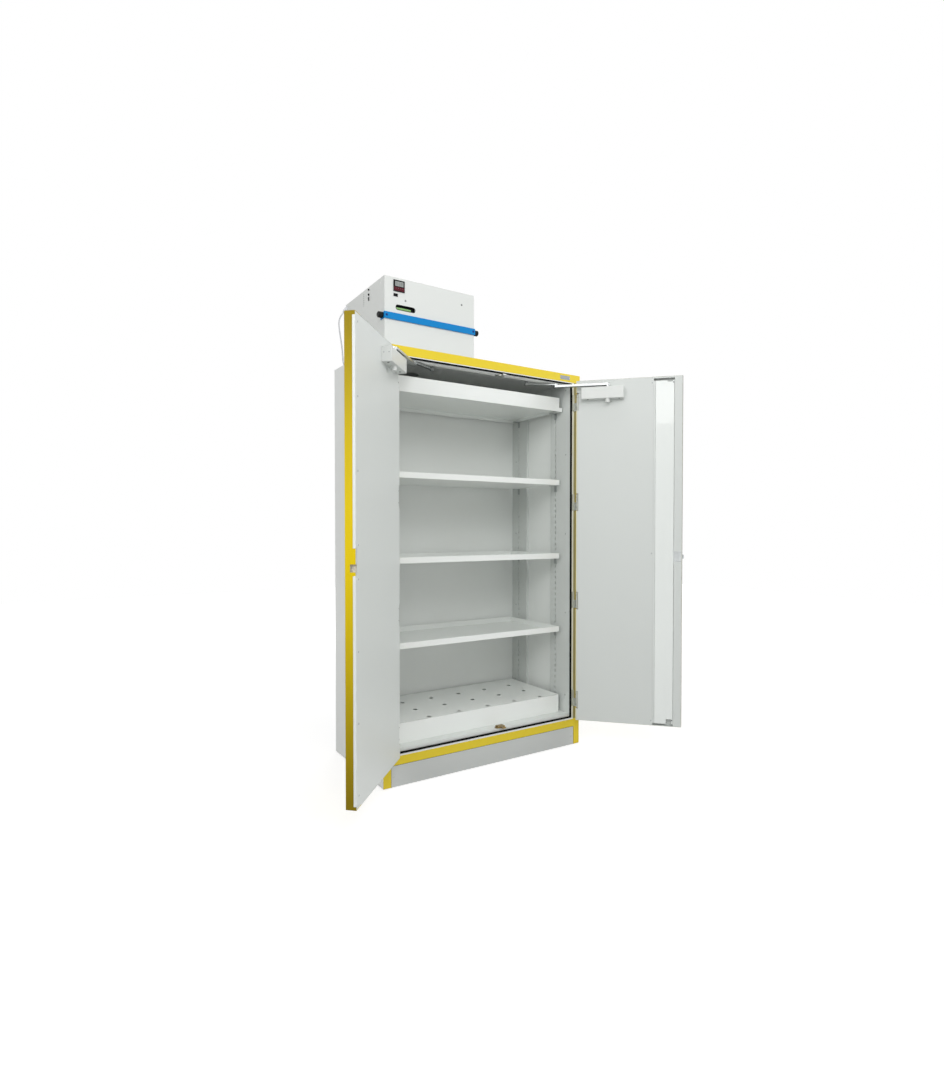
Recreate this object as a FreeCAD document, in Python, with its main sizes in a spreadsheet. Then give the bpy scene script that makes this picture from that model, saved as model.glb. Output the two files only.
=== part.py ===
import FreeCAD, Part
import math
import os
import re
import Sketcher

from FreeCAD import Placement, Rotation, Vector

# A two door flammable safety cabinet with a recirculating filter unit on its roof.
# Distances in the sheet are millimetres. X is counted from the cabinet's left side, Y back from
# the front frame's face and Z up from the floor, and the origin is then the middle of the
# footprint on the floor. The doors rest open, and every door piece is drawn shut and then swung
# about its hinge pins.

SIZES = (
    ("carcass_width", 1140, "outside width"),
    ("carcass_depth", 580, "depth behind the front frame's face"),
    ("cabinet_height", 1955, "height to the roof"),
    ("floor_gap", 3, "air under the skirts"),
    ("skin", 1.5, "sheet of the outer panels and liner"),
    ("frame_sheet", 3, "plate of the front frame"),
    ("post_width", 42, "frame post"),
    ("top_bar", 41, "frame bar over the doors"),
    ("bottom_bar", 39, "frame bar under the doors"),
    ("plinth_height", 98, "plinth"),
    ("plinth_inset", 37.5, "plinth panel from the cabinet's side"),
    ("side_flange", 14, "liner flange beside the opening"),
    ("top_flange", 5, "liner flange over the opening"),
    ("bottom_flange", 10, "liner flange under the opening"),
    ("gasket_width", 6, "door seal"),
    ("gasket_front", 4, "door seal in front of the frame"),
    ("gasket_back", 7, "door seal behind the frame's face"),
    ("side_wall", 47, "side wall with its insulation"),
    ("back_wall", 64, "back wall with its insulation"),
    ("floor_height", 165, "liner floor"),
    ("ceiling_drop", 38, "liner ceiling under the roof"),
    ("header_depth", 60, "header channel behind the seal"),
    ("seal_seat", 1, "air between the seal and the liner edges"),
    ("upright_proud", 15, "perforated upright from the side wall"),
    ("front_upright_width", 156, "front upright"),
    ("rear_upright_width", 138, "rear upright"),
    ("front_slot_row", 122, "slot row of the front upright"),
    ("rear_slot_inset", 64, "slot row of the rear upright from the back wall"),
    ("slot_tall", 14, "slot height"),
    ("slot_wide", 5, "slot width"),
    ("slot_first", 194, "middle of the lowest slot"),
    ("clip_sheet", 2.5, "shelf clip"),
    ("clip_reach", 40, "clip from the upright"),
    ("clip_wide", 16, "clip width along the shelf's end"),
    ("clip_tall", 32, "clip height"),
    ("clip_slack", 0.5, "clip tongue in its slot"),
    ("shelf_sheet", 1.2, "shelf and tray sheet"),
    ("shelf_lip", 28, "tray shelf height"),
    ("shelf_gap", 25.5, "shelf end to upright"),
    ("shelf_front", 60, "shelf front edge"),
    ("shelf_clear", 18, "shelf and sump behind them to the back wall"),
    ("top_shelf_drop", 186, "underside of the top shelf under the roof"),
    ("top_shelf_lip", 20, "top shelf height"),
    ("top_shelf_gap", 8, "top shelf end to upright"),
    ("top_tray_tall", 52, "tray on the top shelf"),
    ("tray_inset", 2, "tray front behind the shelf front"),
    ("sump_tall", 92.8, "sump tray"),
    ("sump_front", 70, "sump tray front"),
    ("sump_clear", 16, "sump tray to the back wall"),
    ("sump_gap", 20, "sump tray end to upright"),
    ("insert_skirt", 24, "insert's folded edge inside the sump"),
    ("insert_play", 2, "insert's folded edge to the sump's wall"),
    ("drain_radius", 11, "drain hole"),
    ("drain_pitch", 167, "drain holes across"),
    ("drain_row_pitch", 140, "drain rows front to back"),
    ("drain_margin", 20, "first drain row from the insert's front"),
    ("drain_inset", 28, "first drain column from the insert's left end"),
    ("door_thickness", 40, "door leaf"),
    ("door_stand", 5, "door's inner face in front of the frame"),
    ("door_side_gap", 37.5, "door's hinge edge from the cabinet's side"),
    ("door_bottom_gap", 8, "door's foot over the bottom bar"),
    ("door_gap", 4, "air between the doors"),
    ("seam_offset", 3, "seam right of the middle"),
    ("door_lip", 7, "outer skin folded over the hinge edge"),
    ("open_angle", 133, "doors as they rest"),
    ("pin_inset", 3.8, "hinge pin from the door's hinge edge"),
    ("pin_back", 22.9, "hinge pin in front of the door's inner face"),
    ("pin_radius", 3, "hinge pin"),
    ("pin_play", 0.3, "hinge pin in the door's knuckle"),
    ("knuckle_radius", 6, "hinge knuckle"),
    ("hinge_tall", 85, "hinge"),
    ("hinge_parting", 0.2, "half the air between two knuckles"),
    ("hinge_low", 251, "lowest hinge"),
    ("hinge_step", 521, "hinge to hinge"),
    ("hinge_last", 514, "middle hinges apart"),
    ("leaf_sheet", 2.4, "hinge leaf"),
    ("leaf_foot", 15, "frame leaf's foot from the pin"),
    ("pocket_wide", 12.5, "hinge pocket in the door's edge"),
    ("pocket_front", 9, "skin left in front of the pocket"),
    ("pocket_play", 3, "pocket over and under the hinge"),
    ("trim_face", 44, "edge trim on the inner face"),
    ("trim_edge", 10, "edge trim over the free edge"),
    ("trim_foot", 14, "edge trim's end from the door's foot"),
    ("trim_head", 16, "edge trim's end from the door's head"),
    ("trim_notch_low", 980, "foot of the strike notch"),
    ("trim_notch_tall", 98, "strike notch"),
    ("recess_inset", 139.5, "lock recess's start from the free edge"),
    ("recess_wide", 100, "lock recess"),
    ("recess_deep", 22, "lock recess"),
    ("recess_foot", 3, "recess from the door's foot"),
    ("recess_head", 9, "recess from the door's head"),
    ("cover_inset", 131.5, "lock cover's start from the free edge"),
    ("cover_wide", 90, "lock cover"),
    ("cover_foot", 13, "lock cover from the door's foot"),
    ("cover_head", 21, "lock cover from the door's head"),
    ("cover_notch", 26, "notch in the cover for the keeper"),
    ("rod_inset", 61, "lock rods from the free edge"),
    ("rod_back", 10, "lock rods in front of the inner face"),
    ("rod_radius", 5, "lock rod"),
    ("rod_play", 0.5, "lock rod in its bores"),
    ("rod_rest", 2, "retracted rod from its keeper"),
    ("lock_height", 1007, "handle spindle"),
    ("lock_half", 37, "half the lock case's height"),
    ("lock_inset", 77.5, "lock case's start from the free edge"),
    ("lock_deep", 23.4, "lock case"),
    ("lock_plate_inset", 40.5, "lock plate's start from the free edge"),
    ("lock_plate_wide", 36, "lock plate"),
    ("lock_plate_half", 25, "half the lock plate's height"),
    ("lock_plate_proud", 1, "lock plate over the inner face"),
    ("rod_stop", 9, "rods end from the spindle"),
    ("bolt_tall", 20, "latch bolt"),
    ("bolt_thick", 10, "latch bolt"),
    ("bolt_proud", 9, "latch bolt past the door's edge"),
    ("bolt_long", 24, "latch bolt"),
    ("bolt_play", 0.4, "latch bolt in its guide"),
    ("bolt_room", 4, "strike pocket round the bolt"),
    ("bolt_back", 12, "latch bolt in front of the inner face"),
    ("spindle_stop", 2, "handle spindle short of its bore's end"),
    ("spindle_radius", 5, "handle spindle"),
    ("spindle_play", 0.4, "spindle in its bores"),
    ("escutcheon_wide", 44, "plate behind the handle"),
    ("escutcheon_tall", 170, "plate behind the handle"),
    ("escutcheon_drop", 110, "foot of that plate under the spindle"),
    ("escutcheon_thick", 4, "plate behind the handle"),
    ("handle_hub", 15, "handle hub radius"),
    ("handle_stand", 26, "handle hub from the plate"),
    ("handle_grip", 12, "grip thickness"),
    ("handle_wide", 22, "grip width"),
    ("handle_long", 128, "grip from the spindle to its tip"),
    ("key_drop", 74, "key cylinder under the spindle"),
    ("key_radius", 9, "key cylinder"),
    ("key_play", 0.3, "key cylinder in its bore"),
    ("key_long", 18, "key cylinder behind the plate"),
    ("keeper_foot_wide", 47, "keeper foot"),
    ("keeper_foot_tall", 5, "keeper foot"),
    ("keeper_foot_deep", 20, "keeper foot"),
    ("keeper_plate_wide", 38, "keeper plate"),
    ("keeper_plate_thick", 6, "keeper plate"),
    ("keeper_tongue_wide", 20, "keeper tongue through the door's notch"),
    ("keeper_tongue_reach", 22, "keeper tongue in front of the frame"),
    ("closer_start", 28, "closer body from the hinge edge"),
    ("closer_long", 212, "closer body"),
    ("closer_deep", 42, "closer body off the door"),
    ("closer_tall", 60, "closer body"),
    ("closer_drop", 43, "closer body's top under the door's head"),
    ("closer_round", 3, "closer body edges"),
    ("spindle_place", 160, "closer spindle from the hinge edge"),
    ("spindle_proud", 25, "closer spindle off the door"),
    ("spindle_boss", 12, "closer spindle boss radius"),
    ("boss_tall", 19, "boss under the closer body"),
    ("running_gap", 0.3, "air between turning faces"),
    ("arm_lift", 7, "arm over the closer body"),
    ("arm_thick", 10, "main arm"),
    ("arm_wide", 30, "main arm"),
    ("rod_arm_gap", 1, "link over the main arm"),
    ("link_thick", 8, "link eye"),
    ("link_bar", 5, "link bar"),
    ("link_wide", 16, "link bar width"),
    ("link_eye", 10, "link eye radius"),
    ("link_pin", 4, "link pin"),
    ("elbow_inset", 155, "resting elbow from the cabinet's side"),
    ("elbow_depth", 11, "resting elbow behind the frame's face"),
    ("bracket_inset", 292, "closer bracket from the cabinet's side"),
    ("bracket_depth", 85, "closer bracket behind the frame's face"),
    ("bracket_foot", 40, "closer bracket plate"),
    ("bracket_plate", 3, "closer bracket plate"),
    ("bracket_post", 8, "closer bracket post radius"),
    ("foot_radius", 25, "levelling foot"),
    ("foot_pad", 8, "levelling foot pad"),
    ("foot_stud", 6, "levelling foot stud radius"),
    ("foot_inset", 70, "levelling foot from the sides"),
    ("duct_radius", 50, "exhaust collar"),
    ("duct_up", 8, "exhaust collar over the roof"),
    ("duct_play", 1, "air round the exhaust collar"),
    ("unit_left", 52, "filter unit from the cabinet's side"),
    ("unit_front", 90, "filter unit behind the frame's face"),
    ("unit_wide", 478, "filter unit"),
    ("unit_deep", 463, "filter unit"),
    ("unit_seam", 168, "seam of the filter unit over the roof"),
    ("unit_tall", 331, "filter unit over the roof"),
    ("unit_sheet", 2, "filter unit sheet"),
    ("inlet_radius", 75, "fan inlet"),
    ("partition_up", 3, "fan partition over the seam"),
    ("cassette_up", 20, "filter cassette over the roof"),
    ("cassette_tall", 116, "filter cassette"),
    ("cassette_play", 6, "filter cassette to the housing"),
    ("cassette_rim", 18, "filter cassette rim"),
    ("media_drop", 8, "filter media under the rim"),
    ("ledge_wide", 22, "ledge under the cassette"),
    ("motor_radius", 52, "fan motor"),
    ("motor_tall", 68, "fan motor"),
    ("shaft_radius", 5, "fan shaft"),
    ("shaft_play", 0.3, "fan shaft in the motor"),
    ("shaft_in", 44, "fan shaft in the motor"),
    ("wheel_radius", 110, "fan wheel"),
    ("wheel_tall", 52, "fan wheel"),
    ("wheel_gap", 6, "fan wheel under the motor"),
    ("wheel_hub", 18, "fan wheel hub"),
    ("wheel_plate", 2, "fan wheel plate"),
    ("blade_start", 60, "blade's inner end"),
    ("blade_end", 106, "blade's outer end"),
    ("blade_thick", 2, "blade"),
    ("vent_wide", 8, "outlet slot"),
    ("vent_tall", 70, "outlet slot"),
    ("vent_pitch", 20, "outlet slot spacing"),
    ("bar_low", 139, "clamp bar's foot over the roof"),
    ("bar_tall", 30, "clamp bar"),
    ("bar_thick", 7, "clamp bar in front of the unit"),
    ("bar_side", 3, "clamp bar past the unit's sides"),
    ("bar_wrap", 38, "clamp bar round the unit's sides"),
    ("knob_back", 12, "knob axis behind the unit's front"),
    ("knob_radius", 13.5, "clamp knob"),
    ("knob_long", 25, "clamp knob"),
    ("knob_stud", 3, "clamp knob stud radius"),
    ("knob_stud_long", 10, "clamp knob stud"),
    ("knob_play", 0.3, "stud in the bar and housing"),
    ("knob_flute", 3, "flute radius"),
    ("control_left", 44, "controller from the unit's left"),
    ("control_wide", 56, "controller bezel"),
    ("control_low", 268, "controller bezel's foot over the roof"),
    ("control_tall", 52, "controller bezel"),
    ("control_proud", 4, "controller bezel off the unit"),
    ("control_step", 3, "controller bezel round its case"),
    ("control_deep", 62, "controller case behind the front"),
    ("switch_left", 45, "switch from the unit's left"),
    ("switch_wide", 21, "switch"),
    ("switch_low", 245, "switch's foot over the roof"),
    ("switch_tall", 14, "switch"),
    ("switch_proud", 2, "switch rim off the unit"),
    ("switch_deep", 16, "switch case behind the front"),
    ("switch_wall", 1.2, "switch case"),
    ("rocker_half", 8, "half the rocker's length"),
    ("rocker_crown", 4, "rocker's ends before its pivot"),
    ("rocker_dip", 2.4, "rocker's middle before its pivot"),
    ("rocker_play", 0.4, "rocker to its case"),
    ("rocker_tilt", 8, "rocker from level"),
    ("window_left", 56, "indicator window from the unit's left"),
    ("window_wide", 99, "indicator window"),
    ("window_low", 187, "indicator window's foot over the roof"),
    ("window_tall", 23, "indicator window"),
    ("lead_diameter", 7, "power lead"),
    ("gland_depth", 450, "cord gland behind the unit's front"),
    ("gland_height", 312, "cord gland over the roof"),
    ("gland_angle", 53, "cord gland under level"),
    ("gland_long", 22, "cord gland"),
    ("gland_nut", 9, "cord gland nut radius"),
    ("gland_tip", 5, "cord gland tip radius"),
    ("lead_straight", 26, "lead's first run out of the gland"),
    ("coil_across", 640, "coil's middle from the cabinet's side"),
    ("coil_back", 500, "coil's middle behind the frame's face"),
    ("coil_radius", 46, "coil's first turn"),
    ("coil_pitch", 7.6, "one turn to the next"),
    ("lead_seat", 0.3, "lead over the roof"),
    ("plug_long", 40, "plug body"),
    ("plug_wide", 36, "plug body"),
    ("plug_neck", 12, "plug's strain relief"),
    ("plug_pin", 2.4, "plug pin radius"),
    ("plug_pin_long", 19, "plug pin"),
    ("plug_pin_apart", 19, "plug pins apart"),
)

# Sizes that follow from the others. A shelf's clips hang half a slot pitch under it.
SHELF_SLOTS = 13
FIRST_SHELF_SLOTS = 13.5
FOLLOWING = (
    ("interior_depth", "carcass_depth - back_wall", "back wall's face"),
    ("rear_upright_start", "interior_depth - rear_upright_width", "front edge of the rear upright"),
    ("rear_slot_row", "interior_depth - rear_slot_inset", "slot row of the rear upright"),
    (
        "slot_pitch",
        f"(cabinet_height - top_shelf_drop - slot_first) / {FIRST_SHELF_SLOTS + 3 * SHELF_SLOTS}",
        "slot spacing",
    ),
    (
        "lower_shelf_height",
        f"slot_first + {FIRST_SHELF_SLOTS} * slot_pitch",
        "underside of the lower shelf",
    ),
    ("shelf_spacing", f"{SHELF_SLOTS} * slot_pitch", "one shelf to the next"),
    ("shelf_depth", "interior_depth - shelf_front - shelf_clear", "shelf front to back"),
    ("sump_depth", "interior_depth - sump_front - sump_clear", "sump tray front to back"),
    ("left_leaf", "carcass_width / 2 + seam_offset - door_gap / 2 - door_side_gap", "left door leaf"),
    ("right_leaf", "carcass_width / 2 - seam_offset - door_gap / 2 - door_side_gap", "right door leaf"),
    ("recess_start", "right_leaf - recess_inset", "lock recess from the hinge edge"),
    ("cover_start", "right_leaf - cover_inset", "lock cover from the hinge edge"),
    ("rod_place", "right_leaf - rod_inset", "lock rods from the hinge edge"),
    ("lock_start", "right_leaf - lock_inset", "lock case from the hinge edge"),
    ("lock_plate_start", "right_leaf - lock_plate_inset", "lock plate from the hinge edge"),
)

UPRIGHT_SLOTS = 56
DRAIN_COLUMNS = 6
DRAIN_ROWS = 3
COIL_TURNS_IN = 2.25
BLADES = 7
VENT_SLOTS = 16
KNOB_FLUTES = 8

doc = FreeCAD.newDocument("FlammableSafetyCabinet")
sheet = doc.addObject("Spreadsheet::Sheet", "Sizes")
FORMULAS = tuple((alias, f"={text}", meaning) for alias, text, meaning in FOLLOWING)
for row, (alias, value, meaning) in enumerate(SIZES + FORMULAS, start=1):
    sheet.set(f"A{row}", alias)
    sheet.set(f"B{row}", str(value))
    sheet.set(f"C{row}", meaning)
    sheet.setAlias(f"B{row}", alias)
doc.recompute()

ALIASES = {alias for alias, _, _ in SIZES + FOLLOWING}
ALONG = {
    "x": Rotation(Vector(0, 1, 0), 90),
    "y": Rotation(Vector(1, 0, 0), -90),
    "z": Rotation(),
}
kept = []


def formula(text):
    """Write a formula of size names the way the document reads it."""
    return re.sub(r"[a-z_]+", lambda found: f"Sizes.{found[0]}" if found[0] in ALIASES else found[0], text)


def number(text):
    """The present value of a formula."""
    return float(sheet.evalExpression(formula(text)))


def bind(piece, prop, text):
    """Tie one property to a formula."""
    piece.setExpression(prop, formula(text))


def place(piece, across, back, up):
    """Tie a piece's place, counted from the left side, the frame's face and the floor."""
    bind(piece, "Placement.Base.x", f"({across}) - carcass_width / 2")
    bind(piece, "Placement.Base.y", f"({back}) - carcass_depth / 2")
    bind(piece, "Placement.Base.z", up)
    return piece


def box(name, across, back, up):
    """A block between two places on each axis."""
    piece = doc.addObject("Part::Box", name)
    for prop, (start, end) in zip(("Length", "Width", "Height"), (across, back, up)):
        bind(piece, prop, f"({end}) - ({start})")
    return place(piece, across[0], back[0], up[0])


def rod(name, centre, radius, length, axis="z"):
    """A round bar from the middle of its first face."""
    piece = doc.addObject("Part::Cylinder", name)
    piece.Placement = Placement(Vector(), ALONG[axis])
    bind(piece, "Radius", radius)
    bind(piece, "Height", length)
    return place(piece, *centre)


def fuse(name, *pieces):
    """One solid of several overlapping ones."""
    piece = doc.addObject("Part::MultiFuse", name)
    piece.Shapes = list(pieces)
    return piece


def group(name, *pieces):
    """Several separate solids under one name."""
    piece = doc.addObject("Part::Compound", name)
    piece.Links = list(pieces)
    return piece


def cut(name, base, *tools):
    """A piece less its tools."""
    piece = doc.addObject("Part::Cut", name)
    piece.Base = base
    piece.Tool = tools[0] if len(tools) == 1 else group(f"{name}_tools", *tools)
    return piece


def keep(piece, node):
    """Give a sub-part the name that its file takes."""
    piece.Label = node
    kept.append((node, piece))
    return piece


def mirror(side, start, end):
    """A span across, counted from the cabinet's own left or right side."""
    if side == "left":
        return start, end
    return f"carcass_width - ({end})", f"carcass_width - ({start})"


def across_point(side, distance):
    """One place across, counted from the cabinet's own left or right side."""
    return mirror(side, distance, distance)[0]


def on_door(side, start, end):
    """A span across a shut door, counted from its hinge edge."""
    return mirror(side, f"door_side_gap + {start}", f"door_side_gap + {end}")


def door_point(side, distance):
    """One place across a shut door, counted from its hinge edge."""
    return on_door(side, distance, distance)[0]


def swing(piece, side):
    """Swing a piece drawn on the shut door to where the door rests open."""
    turn = "-open_angle" if side == "left" else "open_angle"
    pin_x = f"({across_point(side, 'door_side_gap + pin_inset')} - carcass_width / 2)"
    pin_y = f"({PIN_Y} - carcass_depth / 2)"
    bind(piece, "Placement.Base.x", f"{pin_x} - {pin_x} * cos({turn}) + {pin_y} * sin({turn})")
    bind(piece, "Placement.Base.y", f"{pin_y} - {pin_x} * sin({turn}) - {pin_y} * cos({turn})")
    bind(piece, "Placement.Rotation.Angle", turn)
    return piece


def sketch(body, name, role, corners):
    """A closed outline on one of a body's own planes, with every corner tied to its formulas."""
    outline = body.newObject("Sketcher::SketchObject", name)
    plane = next(item for item in body.Origin.OriginFeatures if item.Role == role)
    outline.AttachmentSupport = (plane, [""])
    outline.MapMode = "FlatFace"
    points = [Vector(number(first), number(second), 0) for first, second in corners]
    for start, end in zip(points, points[1:] + points[:1]):
        outline.addGeometry(Part.LineSegment(start, end), False)
    for index, (first, second) in enumerate(corners):
        before = (index - 1) % len(corners)
        outline.addConstraint(Sketcher.Constraint("Coincident", before, 2, index, 1))
        for kind, text in (("DistanceX", first), ("DistanceY", second)):
            tied = outline.addConstraint(Sketcher.Constraint(kind, -1, 1, index, 1, number(text)))
            outline.setExpression(f"Constraints[{tied}]", formula(text))
    return outline


def pad(body, name, outline, length):
    """A pad of an outline, along its plane's normal."""
    feature = body.newObject("PartDesign::Pad", name)
    feature.Profile = outline
    bind(feature, "Length", length)
    return feature


def turned(name, profile):
    """A turned body: its half profile is given as radius and height pairs."""
    body = doc.addObject("PartDesign::Body", name)
    outline = sketch(body, f"{name}_profile", "XZ_Plane", profile)
    feature = body.newObject("PartDesign::Revolution", f"{name}_turn")
    feature.Profile = outline
    feature.ReferenceAxis = (outline, ["V_Axis"])
    feature.Angle = 360
    return body


def tray(name, across, back, up, sheet_name):
    """An open tray folded from one sheet."""
    outer = box(f"{name}_outside", across, back, up)
    inside = box(
        f"{name}_inside",
        (f"{across[0]} + {sheet_name}", f"{across[1]} - {sheet_name}"),
        (f"{back[0]} + {sheet_name}", f"{back[1]} - {sheet_name}"),
        (f"{up[0]} + {sheet_name}", f"{up[1]} + {sheet_name}"),
    )
    return cut(name, outer, inside)


# Places that many pieces share.
FRAME_LOW = "(plinth_height + bottom_bar)"
FRAME_TOP = "(cabinet_height - top_bar)"
SEAL_SIDE = "(post_width + side_flange)"
SEAL_LOW = "(plinth_height + bottom_bar + bottom_flange)"
SEAL_TOP = "(cabinet_height - top_bar - top_flange)"
MOUTH_SIDE = f"({SEAL_SIDE} + gasket_width)"
MOUTH_LOW = f"({SEAL_LOW} + gasket_width)"
MOUTH_TOP = f"({SEAL_TOP} - gasket_width)"
CEILING = "(cabinet_height - ceiling_drop)"
LINER_FRONT = "(gasket_back + seal_seat)"
BOARD_TOP = "(cabinet_height - skin)"
UPRIGHT_FACE = "(side_wall + upright_proud)"
DOOR_LOW = f"({FRAME_LOW} + door_bottom_gap)"
DOOR_TOP = FRAME_TOP
DOOR_FRONT = "(-door_stand - door_thickness)"
DOOR_BACK = "(-door_stand)"
PANEL_FRONT = "(-door_stand - skin)"
PIN_Y = "(-door_stand - pin_back)"
BOLT_MIDDLE = "(-door_stand - bolt_back)"
BOLT_GUIDE_BACK = (
    f"{BOLT_MIDDLE} - bolt_thick / 2 - bolt_play",
    f"{BOLT_MIDDLE} + bolt_thick / 2 + bolt_play",
)
BOLT_GUIDE_UP = ("lock_height - bolt_tall / 2 - bolt_play", "lock_height + bolt_tall / 2 + bolt_play")
DOOR_WIDE = {"left": "left_leaf", "right": "right_leaf"}
FULL_WIDTH = ("0", "carcass_width")
HINGES = (
    "hinge_low",
    "(hinge_low + hinge_step)",
    "(hinge_low + hinge_step + hinge_last)",
    "(hinge_low + 2 * hinge_step + hinge_last)",
)
ROOF = "cabinet_height"
UNIT_RIGHT = "(unit_left + unit_wide)"
UNIT_BACK = "(unit_front + unit_deep)"
UNIT_SEAM = "(cabinet_height + unit_seam)"
UNIT_TOP = "(cabinet_height + unit_tall)"
UNIT_MIDDLE = "(unit_left + unit_wide / 2)"
UNIT_CENTRE = "(unit_front + unit_deep / 2)"
CASSETTE_LOW = "(cabinet_height + cassette_up)"
PARTITION = "(cabinet_height + unit_seam + partition_up)"
SIDES = ("left", "right")


def side_panels():
    """The two painted outer sides."""
    panels = []
    for side in SIDES:
        panels.append(
            box(
                f"{side}_side_panel",
                mirror(side, "0", "skin"),
                ("frame_sheet", "carcass_depth"),
                ("floor_gap", ROOF),
            )
        )
    keep(group("outer_sides", *panels), "side_panels")


def outer_shell():
    """Back, roof with its drawn exhaust collar, and base pan."""
    between = ("skin", "carcass_width - skin")
    back = box("back_sheet", between, ("carcass_depth - skin", "carcass_depth"), ("floor_gap", BOARD_TOP))
    keep(back, "back_panel")
    sheet_of_roof = box("roof_sheet", between, ("frame_sheet", "carcass_depth"), (BOARD_TOP, ROOF))
    centre = (UNIT_MIDDLE, UNIT_CENTRE)
    collar = rod("collar_outside", (*centre, CEILING), "duct_radius", "ceiling_drop + duct_up")
    bore = rod(
        "collar_bore",
        (*centre, f"{CEILING} - skin"),
        "duct_radius - skin",
        "ceiling_drop + duct_up + 2 * skin",
    )
    keep(cut("roof_with_collar", fuse("roof_and_collar", sheet_of_roof, collar), bore), "roof_panel")
    pan = box(
        "pan_sheet",
        between,
        ("frame_sheet", "carcass_depth - skin"),
        ("plinth_height", "plinth_height + skin"),
    )
    keep(pan, "base_pan")


def insulation():
    """Fire boards between the outer shell and the liner."""
    behind = ("interior_depth + skin", "carcass_depth - skin")
    ahead = ("frame_sheet", "interior_depth + skin")
    low = "(plinth_height + skin)"
    across = ("side_wall - skin", "carcass_width - side_wall + skin")
    boards = []
    for side in SIDES:
        boards.append(
            box(
                f"{side}_board",
                mirror(side, "skin", "side_wall - skin"),
                ("frame_sheet", "carcass_depth - skin"),
                (low, BOARD_TOP),
            )
        )
    boards.append(box("back_board", across, behind, (low, BOARD_TOP)))
    under_floor = (f"{LINER_FRONT} + skin", "interior_depth + skin")
    boards.append(box("floor_board", across, under_floor, (low, "floor_height - skin")))
    ceiling_board = box("ceiling_board_blank", across, ahead, (f"{CEILING} + skin", BOARD_TOP))
    hole = rod(
        "ceiling_board_hole",
        (UNIT_MIDDLE, UNIT_CENTRE, CEILING),
        "duct_radius + duct_play",
        "ceiling_drop",
    )
    boards.append(cut("ceiling_board", ceiling_board, hole))
    keep(group("fire_boards", *boards), "carcass_insulation")


def liner():
    """The light grey inner shell: two sides, back, front flange, ceiling with header, floor."""
    walls = []
    upright = ("floor_height - skin", f"{CEILING} + skin")
    for side in SIDES:
        walls.append(
            box(
                f"{side}_liner",
                mirror(side, "side_wall - skin", "side_wall"),
                (LINER_FRONT, "interior_depth"),
                upright,
            )
        )
    walls.append(
        box(
            "back_liner",
            ("side_wall - skin", "carcass_width - side_wall + skin"),
            ("interior_depth", "interior_depth + skin"),
            upright,
        )
    )
    flange = box(
        "flange_blank",
        ("post_width", "carcass_width - post_width"),
        ("0", "skin"),
        (FRAME_LOW, FRAME_TOP),
    )
    window = box(
        "flange_window",
        (SEAL_SIDE, f"carcass_width - {SEAL_SIDE}"),
        ("-skin", "2 * skin"),
        (SEAL_LOW, SEAL_TOP),
    )
    walls.append(cut("flange_ring", flange, window))
    keep(group("liner_shell", *walls), "liner_walls")

    inside = ("side_wall", "carcass_width - side_wall")
    plate = box("ceiling_sheet", inside, (LINER_FRONT, "interior_depth"), (CEILING, f"{CEILING} + skin"))
    front = box(
        "header_front",
        inside,
        (LINER_FRONT, f"{LINER_FRONT} + skin"),
        (MOUTH_TOP, f"{CEILING} + skin"),
    )
    under = box("header_under", inside, (LINER_FRONT, "header_depth"), (MOUTH_TOP, f"{MOUTH_TOP} + skin"))
    rear = box(
        "header_rear",
        inside,
        ("header_depth - skin", "header_depth"),
        (MOUTH_TOP, f"{CEILING} + skin"),
    )
    hole = rod(
        "ceiling_hole",
        (UNIT_MIDDLE, UNIT_CENTRE, f"{CEILING} - skin"),
        "duct_radius + duct_play",
        "4 * skin",
    )
    keep(
        cut("ceiling_with_header", fuse("ceiling_folds", plate, front, under, rear), hole),
        "liner_ceiling",
    )

    floor = box(
        "floor_sheet",
        inside,
        (LINER_FRONT, "interior_depth"),
        ("floor_height - skin", "floor_height"),
    )
    lip = box("floor_front", inside, (LINER_FRONT, f"{LINER_FRONT} + skin"), (MOUTH_LOW, "floor_height"))
    keep(fuse("floor_with_lip", floor, lip), "liner_floor")


def front_frame():
    """The painted frame round the doors, its posts running down to the floor."""
    plate = box("frame_plate", FULL_WIDTH, ("0", "frame_sheet"), ("floor_gap", ROOF))
    mouth = box(
        "frame_mouth",
        ("post_width", "carcass_width - post_width"),
        ("-frame_sheet", "2 * frame_sheet"),
        (FRAME_LOW, FRAME_TOP),
    )
    foot = box(
        "frame_foot",
        ("plinth_inset", "carcass_width - plinth_inset"),
        ("-frame_sheet", "2 * frame_sheet"),
        ("0", "plinth_height"),
    )
    keep(cut("frame_ring", plate, mouth, foot), "front_frame")


def door_gasket():
    """The black seal pushed over the liner's flange."""
    outer = box(
        "seal_outside",
        (SEAL_SIDE, f"carcass_width - {SEAL_SIDE}"),
        ("-gasket_front", "gasket_back"),
        (SEAL_LOW, SEAL_TOP),
    )
    inner = box(
        "seal_inside",
        (MOUTH_SIDE, f"carcass_width - {MOUTH_SIDE}"),
        ("-2 * gasket_front", "2 * gasket_back"),
        (MOUTH_LOW, MOUTH_TOP),
    )
    keep(cut("seal_ring", outer, inner), "door_gasket")


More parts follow.
